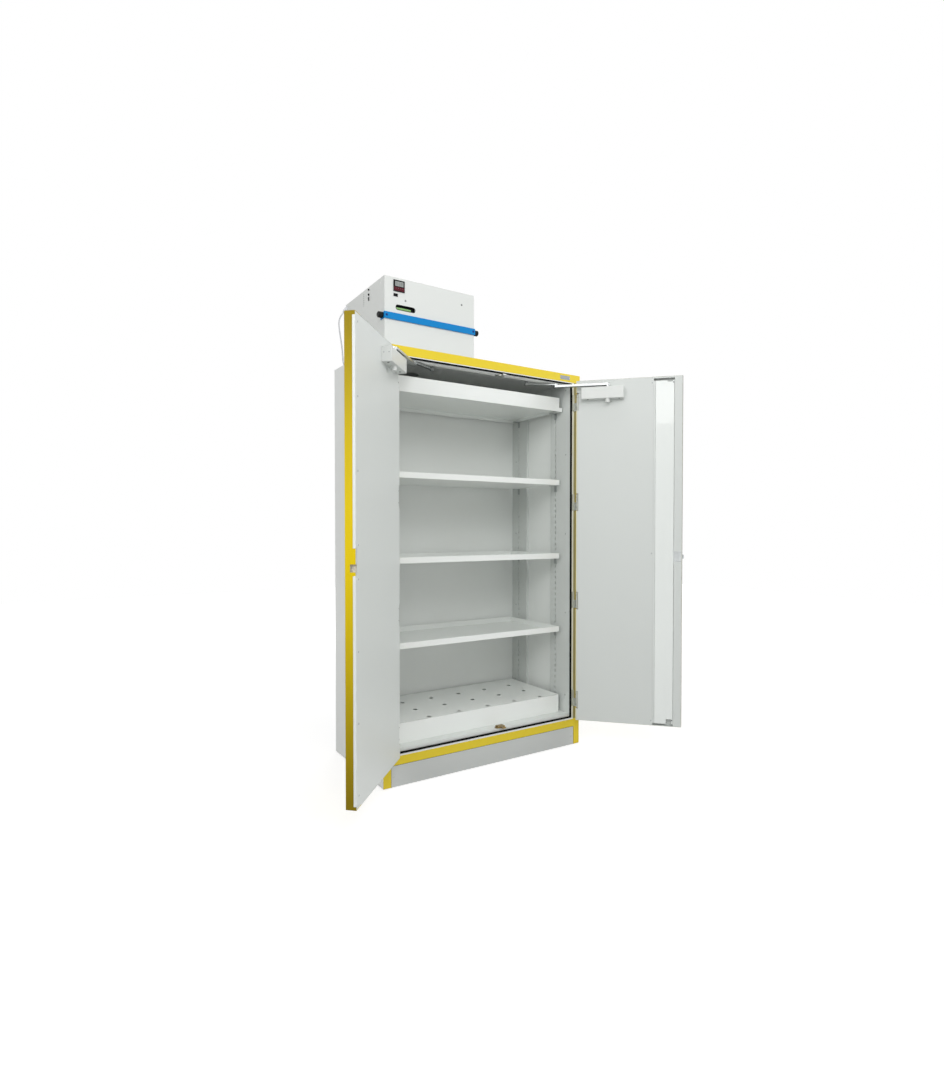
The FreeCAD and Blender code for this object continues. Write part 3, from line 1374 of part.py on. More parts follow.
def closers():
    """Each door's closer: body, main arm, link and the bracket under the ceiling."""
    brackets = []
    body_up = (f"{DOOR_TOP} - closer_drop - closer_tall", f"{DOOR_TOP} - closer_drop")
    for side in SIDES:
        block = box(
            f"{side}_closer_block",
            on_door(side, "closer_start", "closer_start + closer_long"),
            (DOOR_BACK, f"{DOOR_BACK} + closer_deep"),
            body_up,
        )
        doc.recompute()
        rounded = doc.addObject("Part::Fillet", f"{side}_closer_rounded")
        rounded.Base = block
        round_of = number("closer_round")
        back_y = number(f"{DOOR_BACK} + closer_deep") - number("carcass_depth") / 2
        chosen = []
        for index, edge in enumerate(block.Shape.Edges, start=1):
            if abs(edge.CenterOfMass.y - back_y) < 0.001:
                chosen.append((index, round_of, round_of))
        rounded.Edges = chosen
        spindle_at = door_point(side, "spindle_place")
        spindle_back = f"{DOOR_BACK} + spindle_proud"
        boss = rod(
            f"{side}_closer_boss",
            (spindle_at, spindle_back, f"{body_up[0]} - boss_tall"),
            "spindle_boss",
            "boss_tall + skin",
        )
        keep(swing(fuse(f"{side}_closer", rounded, boss), side), f"{side}_closer_body")

        hinge_at = open_point(side, "door_side_gap + spindle_place", spindle_back)
        elbow = fixed_point(side, "elbow_inset", "elbow_depth")
        bracket = fixed_point(side, "bracket_inset", "bracket_depth")
        reach = elbow - hinge_at
        hub = doc.addObject("Part::Cylinder", f"{side}_arm_hub")
        bind(hub, "Radius", "spindle_boss")
        bind(hub, "Height", "arm_lift + arm_thick - running_gap")
        bind(hub, "Placement.Base.z", f"{DOOR_TOP} - closer_drop + running_gap")
        bar = doc.addObject("Part::Box", f"{side}_arm_bar")
        bar.Length = reach.Length
        bind(bar, "Width", "arm_wide")
        bind(bar, "Height", "arm_thick")
        bind(bar, "Placement.Base.y", "-arm_wide / 2")
        bind(bar, "Placement.Base.z", ARM_LOW)
        end = doc.addObject("Part::Cylinder", f"{side}_arm_end")
        bind(end, "Radius", "arm_wide / 2")
        bind(end, "Height", "arm_thick + rod_arm_gap - running_gap")
        end.Placement.Base = Vector(reach.Length, 0, 0)
        bind(end, "Placement.Base.z", ARM_LOW)
        arm = fuse(f"{side}_arm", hub, bar, end)
        arm.Placement = Placement(hinge_at, Rotation(Vector(1, 0, 0), reach))
        keep(arm, f"{side}_closer_arm")

        span = elbow - bracket
        link_parts = []
        for index, distance in enumerate((0, span.Length)):
            eye = doc.addObject("Part::Cylinder", f"{side}_link_eye_{index}")
            bind(eye, "Radius", "link_eye")
            bind(eye, "Height", "link_thick")
            eye.Placement.Base = Vector(distance, 0, 0)
            bind(eye, "Placement.Base.z", LINK_LOW)
            link_parts.append(eye)
        link_bar = doc.addObject("Part::Box", f"{side}_link_bar")
        link_bar.Length = span.Length
        bind(link_bar, "Width", "link_wide")
        bind(link_bar, "Height", "link_bar")
        bind(link_bar, "Placement.Base.y", "-link_wide / 2")
        bind(link_bar, "Placement.Base.z", f"{LINK_LOW} + (link_thick - link_bar) / 2")
        link_parts.append(link_bar)
        bore = doc.addObject("Part::Cylinder", f"{side}_link_bore")
        bind(bore, "Radius", "link_pin + running_gap")
        bind(bore, "Height", "3 * link_thick")
        bind(bore, "Placement.Base.z", f"{LINK_LOW} - link_thick")
        link = cut(f"{side}_link", fuse(f"{side}_link_blank", *link_parts), bore)
        link.Placement = Placement(bracket, Rotation(Vector(1, 0, 0), span))
        keep(link, f"{side}_closer_rod")

        at = (across_point(side, "bracket_inset"), "bracket_depth")
        foot = box(
            f"{side}_bracket_foot",
            mirror(side, "bracket_inset - bracket_foot / 2", "bracket_inset + bracket_foot / 2"),
            ("bracket_depth - bracket_foot / 2", "bracket_depth + bracket_foot / 2"),
            (f"{CEILING} - bracket_plate", CEILING),
        )
        post_low = f"{LINK_LOW} + link_thick + running_gap"
        post = rod(f"{side}_bracket_post", (*at, post_low), "bracket_post", f"{CEILING} - ({post_low})")
        pin = rod(f"{side}_bracket_pin", (*at, LINK_LOW), "link_pin", f"{CEILING} - {LINK_LOW}")
        brackets.append(fuse(f"{side}_bracket", foot, post, pin))
    keep(group("brackets", *brackets), "closer_brackets")


def filter_unit():
    """The filter unit's two housings, cassette and clamp bar."""
    whole = ("unit_left", UNIT_RIGHT)
    deep = ("unit_front", UNIT_BACK)
    within = ("unit_left + unit_sheet", f"{UNIT_RIGHT} - unit_sheet")
    within_deep = ("unit_front + unit_sheet", f"{UNIT_BACK} - unit_sheet")
    lower = tray("lower_housing_folds", whole, deep, (ROOF, UNIT_SEAM), "unit_sheet")
    ledge_up = (f"{CASSETTE_LOW} - unit_sheet", CASSETTE_LOW)
    ledge = cut(
        "cassette_ledge",
        box("ledge_blank", within, within_deep, ledge_up),
        box(
            "ledge_window",
            ("unit_left + ledge_wide", f"{UNIT_RIGHT} - ledge_wide"),
            ("unit_front + ledge_wide", f"{UNIT_BACK} - ledge_wide"),
            (ROOF, UNIT_SEAM),
        ),
    )
    knob_y = "unit_front + knob_back"
    knob_z = "cabinet_height + bar_low + bar_tall / 2"
    inlet = rod(
        "housing_inlet",
        (UNIT_MIDDLE, UNIT_CENTRE, f"{ROOF} - unit_sheet"),
        "duct_radius + duct_play",
        "3 * unit_sheet",
    )
    stud_way = rod(
        "housing_stud_way",
        ("unit_left - unit_sheet", knob_y, knob_z),
        "knob_stud + knob_play",
        "unit_wide + 2 * unit_sheet",
        "x",
    )
    keep(
        cut("lower_housing", fuse("lower_housing_blank", lower, ledge), inlet, stud_way),
        "filter_lower_housing",
    )

    set_in = "(unit_sheet + cassette_play)"
    cassette_across = (f"unit_left + {set_in}", f"{UNIT_RIGHT} - {set_in}")
    cassette_deep = (f"unit_front + {set_in} + knob_back", f"{UNIT_BACK} - {set_in}")
    cassette_up = (CASSETTE_LOW, f"{CASSETTE_LOW} + cassette_tall")
    rim_blank = box("cassette_rim_blank", cassette_across, cassette_deep, cassette_up)
    media_across = (f"{cassette_across[0]} + cassette_rim", f"{cassette_across[1]} - cassette_rim")
    media_deep = (f"{cassette_deep[0]} + cassette_rim", f"{cassette_deep[1]} - cassette_rim")
    rim_window = box("cassette_rim_window", media_across, media_deep, (ROOF, UNIT_TOP))
    media = box(
        "cassette_media",
        media_across,
        media_deep,
        (f"{CASSETTE_LOW} + media_drop", f"{cassette_up[1]} - media_drop"),
    )
    keep(group("cassette", cut("cassette_rim_frame", rim_blank, rim_window), media), "filter_cassette")

    block = box("upper_housing_block", whole, deep, (UNIT_SEAM, UNIT_TOP))
    hollow = box("upper_housing_hollow", within, within_deep, (PARTITION, f"{UNIT_TOP} - unit_sheet"))
    foot = box(
        "upper_housing_foot",
        within,
        within_deep,
        (f"{UNIT_SEAM} - unit_sheet", f"{PARTITION} - unit_sheet"),
    )
    fan_inlet = rod("fan_inlet", (UNIT_MIDDLE, UNIT_CENTRE, UNIT_SEAM), "inlet_radius", "2 * partition_up")
    control_hole = box(
        "control_hole",
        (
            "unit_left + control_left + control_step",
            "unit_left + control_left + control_wide - control_step",
        ),
        ("unit_front - unit_sheet", "unit_front + 2 * unit_sheet"),
        (f"{ROOF} + control_low + control_step", f"{ROOF} + control_low + control_tall - control_step"),
    )
    switch_hole = box(
        "switch_hole",
        ("unit_left + switch_left + switch_wall", "unit_left + switch_left + switch_wide - switch_wall"),
        ("unit_front - unit_sheet", "unit_front + 2 * unit_sheet"),
        (f"{ROOF} + switch_low + switch_wall", f"{ROOF} + switch_low + switch_tall - switch_wall"),
    )
    window_middle = f"{ROOF} + window_low + window_tall / 2"
    window_parts = [
        box(
            "window_slot",
            (
                "unit_left + window_left + window_tall / 2",
                "unit_left + window_left + window_wide - window_tall / 2",
            ),
            ("unit_front - unit_sheet", "unit_front + 2 * unit_sheet"),
            (f"{ROOF} + window_low", f"{ROOF} + window_low + window_tall"),
        )
    ]
    for index, end in enumerate(("window_tall / 2", "window_wide - window_tall / 2")):
        window_parts.append(
            rod(
                f"window_end_{index}",
                (f"unit_left + window_left + {end}", "unit_front - unit_sheet", window_middle),
                "window_tall / 2",
                "3 * unit_sheet",
                "y",
            )
        )
    window = fuse("window_pill", *window_parts)
    vents = []
    for index in range(VENT_SLOTS):
        middle = f"({UNIT_MIDDLE} + {index - (VENT_SLOTS - 1) / 2} * vent_pitch)"
        vents.append(
            box(
                f"vent_{index}",
                (f"{middle} - vent_wide / 2", f"{middle} + vent_wide / 2"),
                (f"{UNIT_BACK} - 2 * unit_sheet", f"{UNIT_BACK} + unit_sheet"),
                (f"{PARTITION} + vent_pitch", f"{PARTITION} + vent_pitch + vent_tall"),
            )
        )
    keep(
        cut("upper_housing", block, hollow, foot, fan_inlet, control_hole, switch_hole, window, *vents),
        "filter_upper_housing",
    )

    bar_up = (f"{ROOF} + bar_low", f"{ROOF} + bar_low + bar_tall")
    front_bar = box(
        "bar_front",
        (f"unit_left - bar_side", f"{UNIT_RIGHT} + bar_side"),
        ("unit_front - bar_thick", "unit_front"),
        bar_up,
    )
    wraps = []
    for name, span in (
        ("left", ("unit_left - bar_side", "unit_left")),
        ("right", (UNIT_RIGHT, f"{UNIT_RIGHT} + bar_side")),
    ):
        wraps.append(
            box(f"bar_{name}_wrap", span, ("unit_front - bar_thick", "unit_front + bar_wrap"), bar_up),
        )
    bar_way = rod(
        "bar_stud_way",
        ("unit_left - 2 * bar_side", knob_y, knob_z),
        "knob_stud + knob_play",
        "unit_wide + 4 * bar_side",
        "x",
    )
    keep(cut("bar", fuse("bar_folds", front_bar, *wraps), bar_way), "clamp_bar")


def clamp_knobs():
    """A fluted knob at each end of the clamp bar, its stud through the bar into the housing."""
    bar_edges = {
        "left": "unit_left - bar_side - running_gap",
        "right": f"{UNIT_RIGHT} + bar_side + running_gap",
    }
    for side in SIDES:
        name = f"{side}_knob"
        body = turned(
            name,
            (
                ("0", "-knob_stud_long"),
                ("knob_stud", "-knob_stud_long"),
                ("knob_stud", "0"),
                ("knob_radius - knob_flute", "0"),
                ("knob_radius", "knob_flute"),
                ("knob_radius", "knob_long - knob_flute"),
                ("knob_radius - knob_flute", "knob_long"),
                ("0", "knob_long"),
            ),
        )
        flute = body.newObject("Sketcher::SketchObject", f"{name}_flute")
        flute.AttachmentSupport = (
            next(item for item in body.Origin.OriginFeatures if item.Role == "XY_Plane"),
            [""],
        )
        flute.MapMode = "FlatFace"
        centre = number("knob_radius + knob_flute / 2")
        flute.addGeometry(Part.Circle(Vector(centre, 0, 0), Vector(0, 0, 1), number("knob_flute")), False)
        flute.addConstraint(Sketcher.Constraint("PointOnObject", 0, 3, -1))
        tied = flute.addConstraint(Sketcher.Constraint("DistanceX", -1, 1, 0, 3, centre))
        flute.setExpression(f"Constraints[{tied}]", formula("knob_radius + knob_flute / 2"))
        tied = flute.addConstraint(Sketcher.Constraint("Radius", 0, number("knob_flute")))
        flute.setExpression(f"Constraints[{tied}]", formula("knob_flute"))
        groove = body.newObject("PartDesign::Pocket", f"{name}_groove")
        groove.Profile = flute
        groove.Midplane = True
        bind(groove, "Length", "3 * knob_long")
        doc.recompute()
        ring = body.newObject("PartDesign::PolarPattern", f"{name}_flutes")
        ring.Originals = [groove]
        ring.Axis = (flute, ["N_Axis"])
        ring.Angle = 360
        ring.Occurrences = KNOB_FLUTES
        body.Tip = ring
        way = -90 if side == "left" else 90
        body.Placement = Placement(Vector(), Rotation(Vector(0, 1, 0), way))
        place(body, bar_edges[side], "unit_front + knob_back", "cabinet_height + bar_low + bar_tall / 2")
        keep(body, f"{side}_clamp_knob")


def fan():
    """The motor under the unit's top, and the wheel on its shaft."""
    motor = turned(
        "motor",
        (
            ("shaft_radius + shaft_play", "-motor_tall"),
            ("motor_radius", "-motor_tall"),
            ("motor_radius", "0"),
            ("0", "0"),
            ("0", "-motor_tall + shaft_in + shaft_play"),
            ("shaft_radius + shaft_play", "-motor_tall + shaft_in + shaft_play"),
        ),
    )
    place(motor, UNIT_MIDDLE, UNIT_CENTRE, f"{UNIT_TOP} - unit_sheet")
    keep(motor, "fan_motor")

    body = turned(
        "wheel",
        (
            ("0", "-wheel_gap - wheel_tall"),
            ("wheel_hub", "-wheel_gap - wheel_tall"),
            ("wheel_hub", "-wheel_gap - wheel_plate"),
            ("wheel_radius", "-wheel_gap - wheel_plate"),
            ("wheel_radius", "-wheel_gap"),
            ("shaft_radius", "-wheel_gap"),
            ("shaft_radius", "shaft_in"),
            ("0", "shaft_in"),
        ),
    )
    blade = sketch(
        body,
        "blade_outline",
        "XZ_Plane",
        (
            ("blade_start", "-wheel_gap - wheel_tall"),
            ("blade_end", "-wheel_gap - wheel_tall"),
            ("blade_end", "-wheel_gap - wheel_plate"),
            ("blade_start", "-wheel_gap - wheel_plate"),
        ),
    )
    plate = pad(body, "blade_plate", blade, "blade_thick")
    plate.Midplane = True
    doc.recompute()
    ring = body.newObject("PartDesign::PolarPattern", "blade_ring")
    ring.Originals = [plate]
    ring.Axis = (blade, ["V_Axis"])
    ring.Angle = 360
    ring.Occurrences = BLADES
    body.Tip = ring
    place(body, UNIT_MIDDLE, UNIT_CENTRE, f"{UNIT_TOP} - unit_sheet - motor_tall")
    keep(body, "fan_impeller")


def controls():
    """The controller in the unit's front, the switch case under it and its rocker."""
    case = box(
        "control_case",
        (
            "unit_left + control_left + control_step",
            "unit_left + control_left + control_wide - control_step",
        ),
        ("unit_front - skin", "unit_front + control_deep"),
        (f"{ROOF} + control_low + control_step", f"{ROOF} + control_low + control_tall - control_step"),
    )
    bezel = box(
        "control_bezel",
        ("unit_left + control_left", "unit_left + control_left + control_wide"),
        ("unit_front - control_proud", "unit_front"),
        (f"{ROOF} + control_low", f"{ROOF} + control_low + control_tall"),
    )
    rim = box(
        "switch_rim",
        ("unit_left + switch_left", "unit_left + switch_left + switch_wide"),
        ("unit_front - switch_proud", "unit_front"),
        (f"{ROOF} + switch_low", f"{ROOF} + switch_low + switch_tall"),
    )
    shell = box(
        "switch_shell",
        ("unit_left + switch_left + switch_wall", "unit_left + switch_left + switch_wide - switch_wall"),
        ("unit_front - skin", "unit_front + switch_deep"),
        (f"{ROOF} + switch_low + switch_wall", f"{ROOF} + switch_low + switch_tall - switch_wall"),
    )
    hollow = box(
        "switch_hollow",
        (
            "unit_left + switch_left + 1.5 * switch_wall",
            "unit_left + switch_left + switch_wide - 1.5 * switch_wall",
        ),
        ("unit_front - 2 * switch_proud", "unit_front + switch_deep - switch_wall"),
        (
            f"{ROOF} + switch_low + 1.5 * switch_wall",
            f"{ROOF} + switch_low + switch_tall - 1.5 * switch_wall",
        ),
    )
    switch_case = cut("switch_case", fuse("switch_blank", rim, shell), hollow)
    keep(group("control_parts", fuse("control_unit", case, bezel), switch_case), "controller")

    body = doc.addObject("PartDesign::Body", "rocker")
    tall = "switch_tall - 3 * switch_wall - 2 * rocker_play"
    outline = sketch(
        body,
        "rocker_outline",
        "XY_Plane",
        (
            ("-rocker_half", "-rocker_crown"),
            ("0", "-rocker_dip"),
            ("rocker_half", "-rocker_crown"),
            ("rocker_half - rocker_play", "rocker_crown"),
            ("-rocker_half + rocker_play", "rocker_crown"),
        ),
    )
    pad(body, "rocker_pad", outline, tall)
    body.Placement = Placement(Vector(), Rotation(Vector(0, 0, 1), number("rocker_tilt")))
    place(
        body,
        "unit_left + switch_left + switch_wide / 2",
        "unit_front + rocker_crown",
        f"{ROOF} + switch_low + 1.5 * switch_wall + rocker_play",
    )
    bind(body, "Placement.Rotation.Angle", "rocker_tilt")
    keep(body, "rocker_switch")


def gland_frame():
    """Where the gland's tip lies and which way it points, in the cabinet's own frame."""
    angle = math.radians(number("gland_angle"))
    way = Vector(-math.cos(angle), 0, -math.sin(angle))
    root = Vector(
        number("unit_left - carcass_width / 2"),
        number("unit_front + gland_depth - carcass_depth / 2"),
        number("cabinet_height + gland_height"),
    )
    return root, way


def cord_gland():
    """The nut and tapered strain relief that the lead leaves the unit by."""
    body = turned(
        "gland",
        (
            ("0", "0"),
            ("gland_nut", "0"),
            ("gland_nut", "gland_long / 2"),
            ("gland_tip", "gland_long"),
            ("0", "gland_long"),
        ),
    )
    boss = doc.addObject("Part::Cylinder", "gland_boss")
    bind(boss, "Radius", "gland_nut")
    bind(boss, "Height", "2 * gland_nut")
    bind(boss, "Placement.Base.z", "-2 * gland_nut")
    whole = fuse("gland_whole", body, boss)
    root, way = gland_frame()
    whole.Placement = Placement(root + way * number("gland_nut"), Rotation(Vector(0, 0, 1), way))
    trimmer = box(
        "gland_trimmer",
        ("unit_left", "unit_left + 4 * gland_nut"),
        ("unit_front", UNIT_BACK),
        (ROOF, f"{UNIT_TOP} + unit_tall"),
    )
    keep(cut("gland_trimmed", whole, trimmer), "cord_gland")


# The lead's route in the cabinet's gauge, from the gland's tip down behind the open door, along
# the roof behind the unit and to the coil. The first and last points follow the gland and coil.
ROUTE = (
    (9, 541, 2190),
    (13, 543, 2152),
    (21, 547, 2112),
    (30, 552, 2070),
    (36, 558, 2026),
    (41, 563, 1988),
    (62, 566, 1964),
    (100, 566.5, 1958.8),
    (160, 568, 1958.8),
    (238, 565.5, 1958.8),
    (320, 568, 1958.8),
    (402, 565, 1958.8),
    (470, 566, 1958.8),
    (525, 561, 1958.8),
    (568, 551, 1958.8),
    (602, 546, 1958.8),
)


def tangent_arcs(points):
    """Straight runs joined by tangent arcs as large as two runs allow; prints the radii."""
    edges = []
    radii = []
    start = points[0]
    for before, corner, after in zip(points, points[1:], points[2:]):
        into = (corner - before).normalize()
        out = (after - corner).normalize()
        shorter = min((corner - before).Length, (after - corner).Length)
        turn = into.getAngle(out)
        back = 0.45 * shorter
        radius = back / math.tan(turn / 2)
        radii.append(radius)
        first = corner - into * back
        last = corner + out * back
        inward = (out - into).normalize()
        centre = corner + inward * (radius / math.cos(turn / 2))
        middle = centre - inward * radius
        edges.append(Part.LineSegment(start, first).toShape())
        edges.append(Part.Arc(first, middle, last).toShape())
        start = last
    edges.append(Part.LineSegment(start, points[-1]).toShape())
    print("lead radii", ", ".join(f"{radius:.0f}" for radius in radii))
    return Part.Wire(edges)


def tube(path, radius, direction):
    """A round tube along a path."""
    start = path.Edges[0].valueAt(path.Edges[0].FirstParameter)
    ring = Part.Wire([Part.makeCircle(radius, start, direction)])
    return path.makePipeShell([ring], True, False)


def coil_point(turns):
    """The coil's line: in, up a layer as it turns back, and out again."""
    radius = number("coil_radius")
    pitch = number("coil_pitch")
    inward = min(turns, 2 * COIL_TURNS_IN - turns)
    climb = min(max((turns - COIL_TURNS_IN + 0.25) / 0.5, 0), 1)
    rise = pitch * climb * climb * (3 - 2 * climb)
    angle = math.pi / 2 - 2 * math.pi * turns
    now = radius - pitch * inward
    return Vector(now * math.cos(angle), now * math.sin(angle), rise)


def coil_way(turns):
    """The coil's direction, level where it starts and ends."""
    step = 0.01
    way = coil_point(turns + step) - coil_point(turns - step)
    if turns in (0, 2 * COIL_TURNS_IN):
        way.z = 0
    return way.normalize()


def biarc(start, start_way, end, end_way):
    """Two arcs that leave one point and reach another along given directions."""
    span = end - start
    both = start_way + end_way
    lean = 2 * (1 - start_way.dot(end_way))
    reach = (-span.dot(both) + math.sqrt(span.dot(both) ** 2 + lean * span.dot(span))) / lean
    joint = (start + start_way * reach + end - end_way * reach) / 2
    return [arc_from(start, start_way, joint), arc_back(joint, end, end_way)]


def arc_from(start, way, end):
    """The arc that leaves a point along a direction and passes through another point."""
    chord = end - start
    across = chord - way * chord.dot(way)
    side = across.normalize()
    radius = chord.dot(chord) / (2 * chord.dot(side))
    centre = start + side * radius
    middle = centre + ((start + end) / 2 - centre).normalize() * radius
    return Part.Arc(start, middle, end).toShape()


def arc_back(start, end, way):
    """The arc between two points that arrives along a direction."""
    backwards = arc_from(end, way * -1, start)
    middle = backwards.valueAt((backwards.FirstParameter + backwards.LastParameter) / 2)
    return Part.Arc(start, middle, end).toShape()


def power_lead():
    """The lead: its free stretch, the coil of what is put away, and the plug."""
    radius = number("lead_diameter") / 2
    half_width = number("carcass_width") / 2
    half_depth = number("carcass_depth") / 2
    root, way = gland_frame()
    tip = root + way * number("gland_nut + gland_long")
    coil_middle = Vector(
        number("coil_across") - half_width,
        number("coil_back") - half_depth,
        number("cabinet_height + lead_seat") + radius,
    )
    straight = number("lead_diameter")
    turns = 2 * COIL_TURNS_IN
    first = coil_middle + coil_point(0)
    entry = first - coil_way(0) * straight
    points = [tip, tip + way * number("lead_straight")]
    points += [Vector(across - half_width, back - half_depth, up) for across, back, up in ROUTE]
    points.append(entry)
    path = tangent_arcs(points)
    lead = doc.addObject("Part::Feature", "lead_tube")
    lead.Shape = tube(path, radius, way)
    keep(lead, "power_cord")
    expected = math.pi * radius * radius * path.Length
    print(f"lead free length {path.Length:.0f} mm, volume {lead.Shape.Volume:.0f} of {expected:.0f}")

    quarters = int(turns * 4)
    stations = [index / 4 for index in range(quarters + 1)]
    edges = [Part.LineSegment(entry, first).toShape()]
    for here, there in zip(stations, stations[1:]):
        edges += biarc(
            coil_middle + coil_point(here),
            coil_way(here),
            coil_middle + coil_point(there),
            coil_way(there),
        )
    last = coil_middle + coil_point(turns)
    leave = last + coil_way(turns) * straight
    edges.append(Part.LineSegment(last, leave).toShape())
    winding = Part.Wire(edges)
    coil = doc.addObject("Part::Feature", "coil_tube")
    coil.Shape = tube(winding, radius, coil_way(0))
    keep(coil, "cord_coil")
    print(f"coil length {winding.Length:.0f} mm, volume {coil.Shape.Volume:.0f}")
    print(f"coil least gap {least_gap(coil_middle, turns, radius):.2f} mm")
    plug(leave, coil_way(turns))


def least_gap(middle, turns, radius):
    """The least gap of the coil to itself, on points along its line."""
    count = 400
    samples = [middle + coil_point(turns * index / count) for index in range(count + 1)]
    skip = int(count / turns / 2)
    nearest = min(
        (one - other).Length
        for index, one in enumerate(samples)
        for other in samples[index + skip:]
    )
    return nearest - 2 * radius


def plug(start, way):
    """A plain two pin plug lying on the roof at the coil's end."""
    height = 2 * (start.z - number("cabinet_height"))
    neck = doc.addObject("Part::Cone", "plug_neck_cone")
    bind(neck, "Radius1", "lead_diameter / 2 + skin")
    bind(neck, "Radius2", "lead_diameter / 2 + 2 * skin")
    bind(neck, "Height", "plug_neck")
    body = doc.addObject("Part::Box", "plug_body")
    body.Length = height
    bind(body, "Width", "plug_wide")
    bind(body, "Height", "plug_long")
    body.Placement.Base.x = -height / 2
    bind(body, "Placement.Base.y", "-plug_wide / 2")
    bind(body, "Placement.Base.z", "plug_neck")
    pins = []
    for index, sign in enumerate((-1, 1)):
        pin = doc.addObject("Part::Cylinder", f"plug_pin_{index}")
        bind(pin, "Radius", "plug_pin")
        bind(pin, "Height", "plug_pin_long + skin")
        bind(pin, "Placement.Base.y", f"{sign} * plug_pin_apart / 2")
        bind(pin, "Placement.Base.z", "plug_neck + plug_long - skin")
        pins.append(pin)
    whole = fuse("plug_whole", neck, body, *pins)
    whole.Placement = Placement(start, Rotation(Vector(0, 1, 0), -90))
    keep(whole, "power_plug")


def check_and_write():
    """Stop on any failed object or bad shape, then write one file for each sub-part."""
    doc.recompute()
    failed = [item.Name for item in doc.Objects if {"Invalid", "Error"} & set(item.State)]
    if failed:
        raise RuntimeError(f"failed objects: {failed}")
    for node, piece in kept:
        if piece.Shape.isNull() or not piece.Shape.isValid():
            raise RuntimeError(f"{node} has a bad shape")
    os.makedirs("parts", exist_ok=True)
    for node, piece in kept:
        piece.Shape.exportStep(f"parts/{node}.step")
    print(f"{len(kept)} sub-parts written")


side_panels()
outer_shell()
insulation()
liner()
front_frame()
door_gasket()
plinth()
shelf_uprights()
shelf_clips()
shelves()
rod_keepers()
hinges()
doors()
lock_set()
closers()
filter_unit()
clamp_knobs()
fan()
controls()
cord_gland()
power_lead()
check_and_write()
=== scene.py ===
"""Looks of the fire-rated safety cabinet: finishes, fittings, mains lead, light and camera.

Places are in the cabinet's own gauge, in millimetres: X from its left side, Y back from the face of
the front frame, Z up from the floor. Pieces on a door are made as it stands shut, then swung open.
"""

import logging
import math
from collections.abc import Callable, Iterable, Sequence
from dataclasses import dataclass, replace
from enum import Enum

import bmesh
import bpy
from mathutils import Matrix, Vector


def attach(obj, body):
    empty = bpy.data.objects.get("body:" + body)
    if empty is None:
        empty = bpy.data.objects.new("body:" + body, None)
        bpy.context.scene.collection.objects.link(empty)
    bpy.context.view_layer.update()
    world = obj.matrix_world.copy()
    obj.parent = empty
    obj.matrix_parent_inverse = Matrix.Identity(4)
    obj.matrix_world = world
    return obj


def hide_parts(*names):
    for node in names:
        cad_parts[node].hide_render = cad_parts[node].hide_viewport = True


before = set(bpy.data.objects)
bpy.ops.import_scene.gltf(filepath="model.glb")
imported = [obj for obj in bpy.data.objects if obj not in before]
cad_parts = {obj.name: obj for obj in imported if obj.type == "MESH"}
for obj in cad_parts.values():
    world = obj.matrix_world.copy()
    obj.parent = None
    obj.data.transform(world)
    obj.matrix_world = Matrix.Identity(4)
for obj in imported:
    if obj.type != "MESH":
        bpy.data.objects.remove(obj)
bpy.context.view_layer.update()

LOG = logging.getLogger("safety_cabinet")
MM = 0.001
WIDTH = 1140.0
HALF_DEPTH = 290.0
PIN_INSET = 41.3
PIN_FRONT = -27.9
OPEN_ANGLE = math.radians(133)
DOOR_BACK = -5.0
DOOR_GAP = 37.5
WELD_REACH = 0.00001
CREASE = math.radians(40)
FACE_WEIGHT = 60
MIX_INPUTS = (0, 6, 7)
MIX_COLOUR = 2

Span = tuple[float, float]
Point = tuple[float, float, float]
Node = bpy.types.Node
Socket = bpy.types.NodeSocket
Tree = bpy.types.NodeTree

UPRIGHT: Point = (0.0, 0.0, 1.0)
DOWN: Point = (0.0, 0.0, -1.0)
FRONT: Point = (0.0, -1.0, 0.0)
BACK: Point = (0.0, 1.0, 0.0)
LEFTWARD: Point = (-1.0, 0.0, 0.0)
RIGHTWARD: Point = (1.0, 0.0, 0.0)


def spot(across: float, back: float, up: float) -> Vector:
    """Turns a place in the cabinet's gauge into the scene's metres.

    Args:
        across: distance from the cabinet's left side.
        back: distance behind the face of the front frame.
        up: height over the floor.

    Returns:
        The same place in the row frame.
    """
    return Vector((across - WIDTH / 2, back - HALF_DEPTH, up)) * MM


def linear(code: str) -> tuple[float, float, float, float]:
    """Turns a hex colour as seen into the linear colour that a shader wants.

    Args:
        code: six hex digits, such as "e9c41b".

    Returns:
        Linear red, green, blue and a full alpha.
    """
    parts = [int(code[index : index + 2], 16) / 255 for index in (0, 2, 4)]
    curve = [part / 12.92 if part <= 0.04045 else ((part + 0.055) / 1.055) ** 2.4 for part in parts]
    return (*curve, 1.0)


class Side(Enum):
    """The two doors' sides, as seen from the front."""

    LEFT = "left"
    RIGHT = "right"

    @property
    def sign(self) -> int:
        """Plus one on the left, minus one on the right."""
        return 1 if self is Side.LEFT else -1

    @property
    def inward(self) -> Point:
        """The way from this side to the cabinet's middle."""
        return (float(self.sign), 0.0, 0.0)

    @property
    def outward(self) -> Point:
        """The way from the cabinet's middle to this side."""
        return (float(-self.sign), 0.0, 0.0)

    def across(self, inset: float) -> float:
        """Gauge place at an inset from this side of the cabinet."""
        return inset if self is Side.LEFT else WIDTH - inset

    def on_door(self, along: float) -> float:
        """Gauge place at a distance from the door's hinge edge, with the door shut."""
        return self.across(DOOR_GAP + along)

    def door_turn(self) -> Matrix:
        """Swings a shut door open about its pins.

        Returns:
            The placement from shut to open.
        """
        pin = spot(self.across(PIN_INSET), PIN_FRONT, 0)
        swing = Matrix.Rotation(-self.sign * OPEN_ANGLE, 4, "Z")
        return Matrix.Translation(pin) @ swing @ Matrix.Translation(-pin)


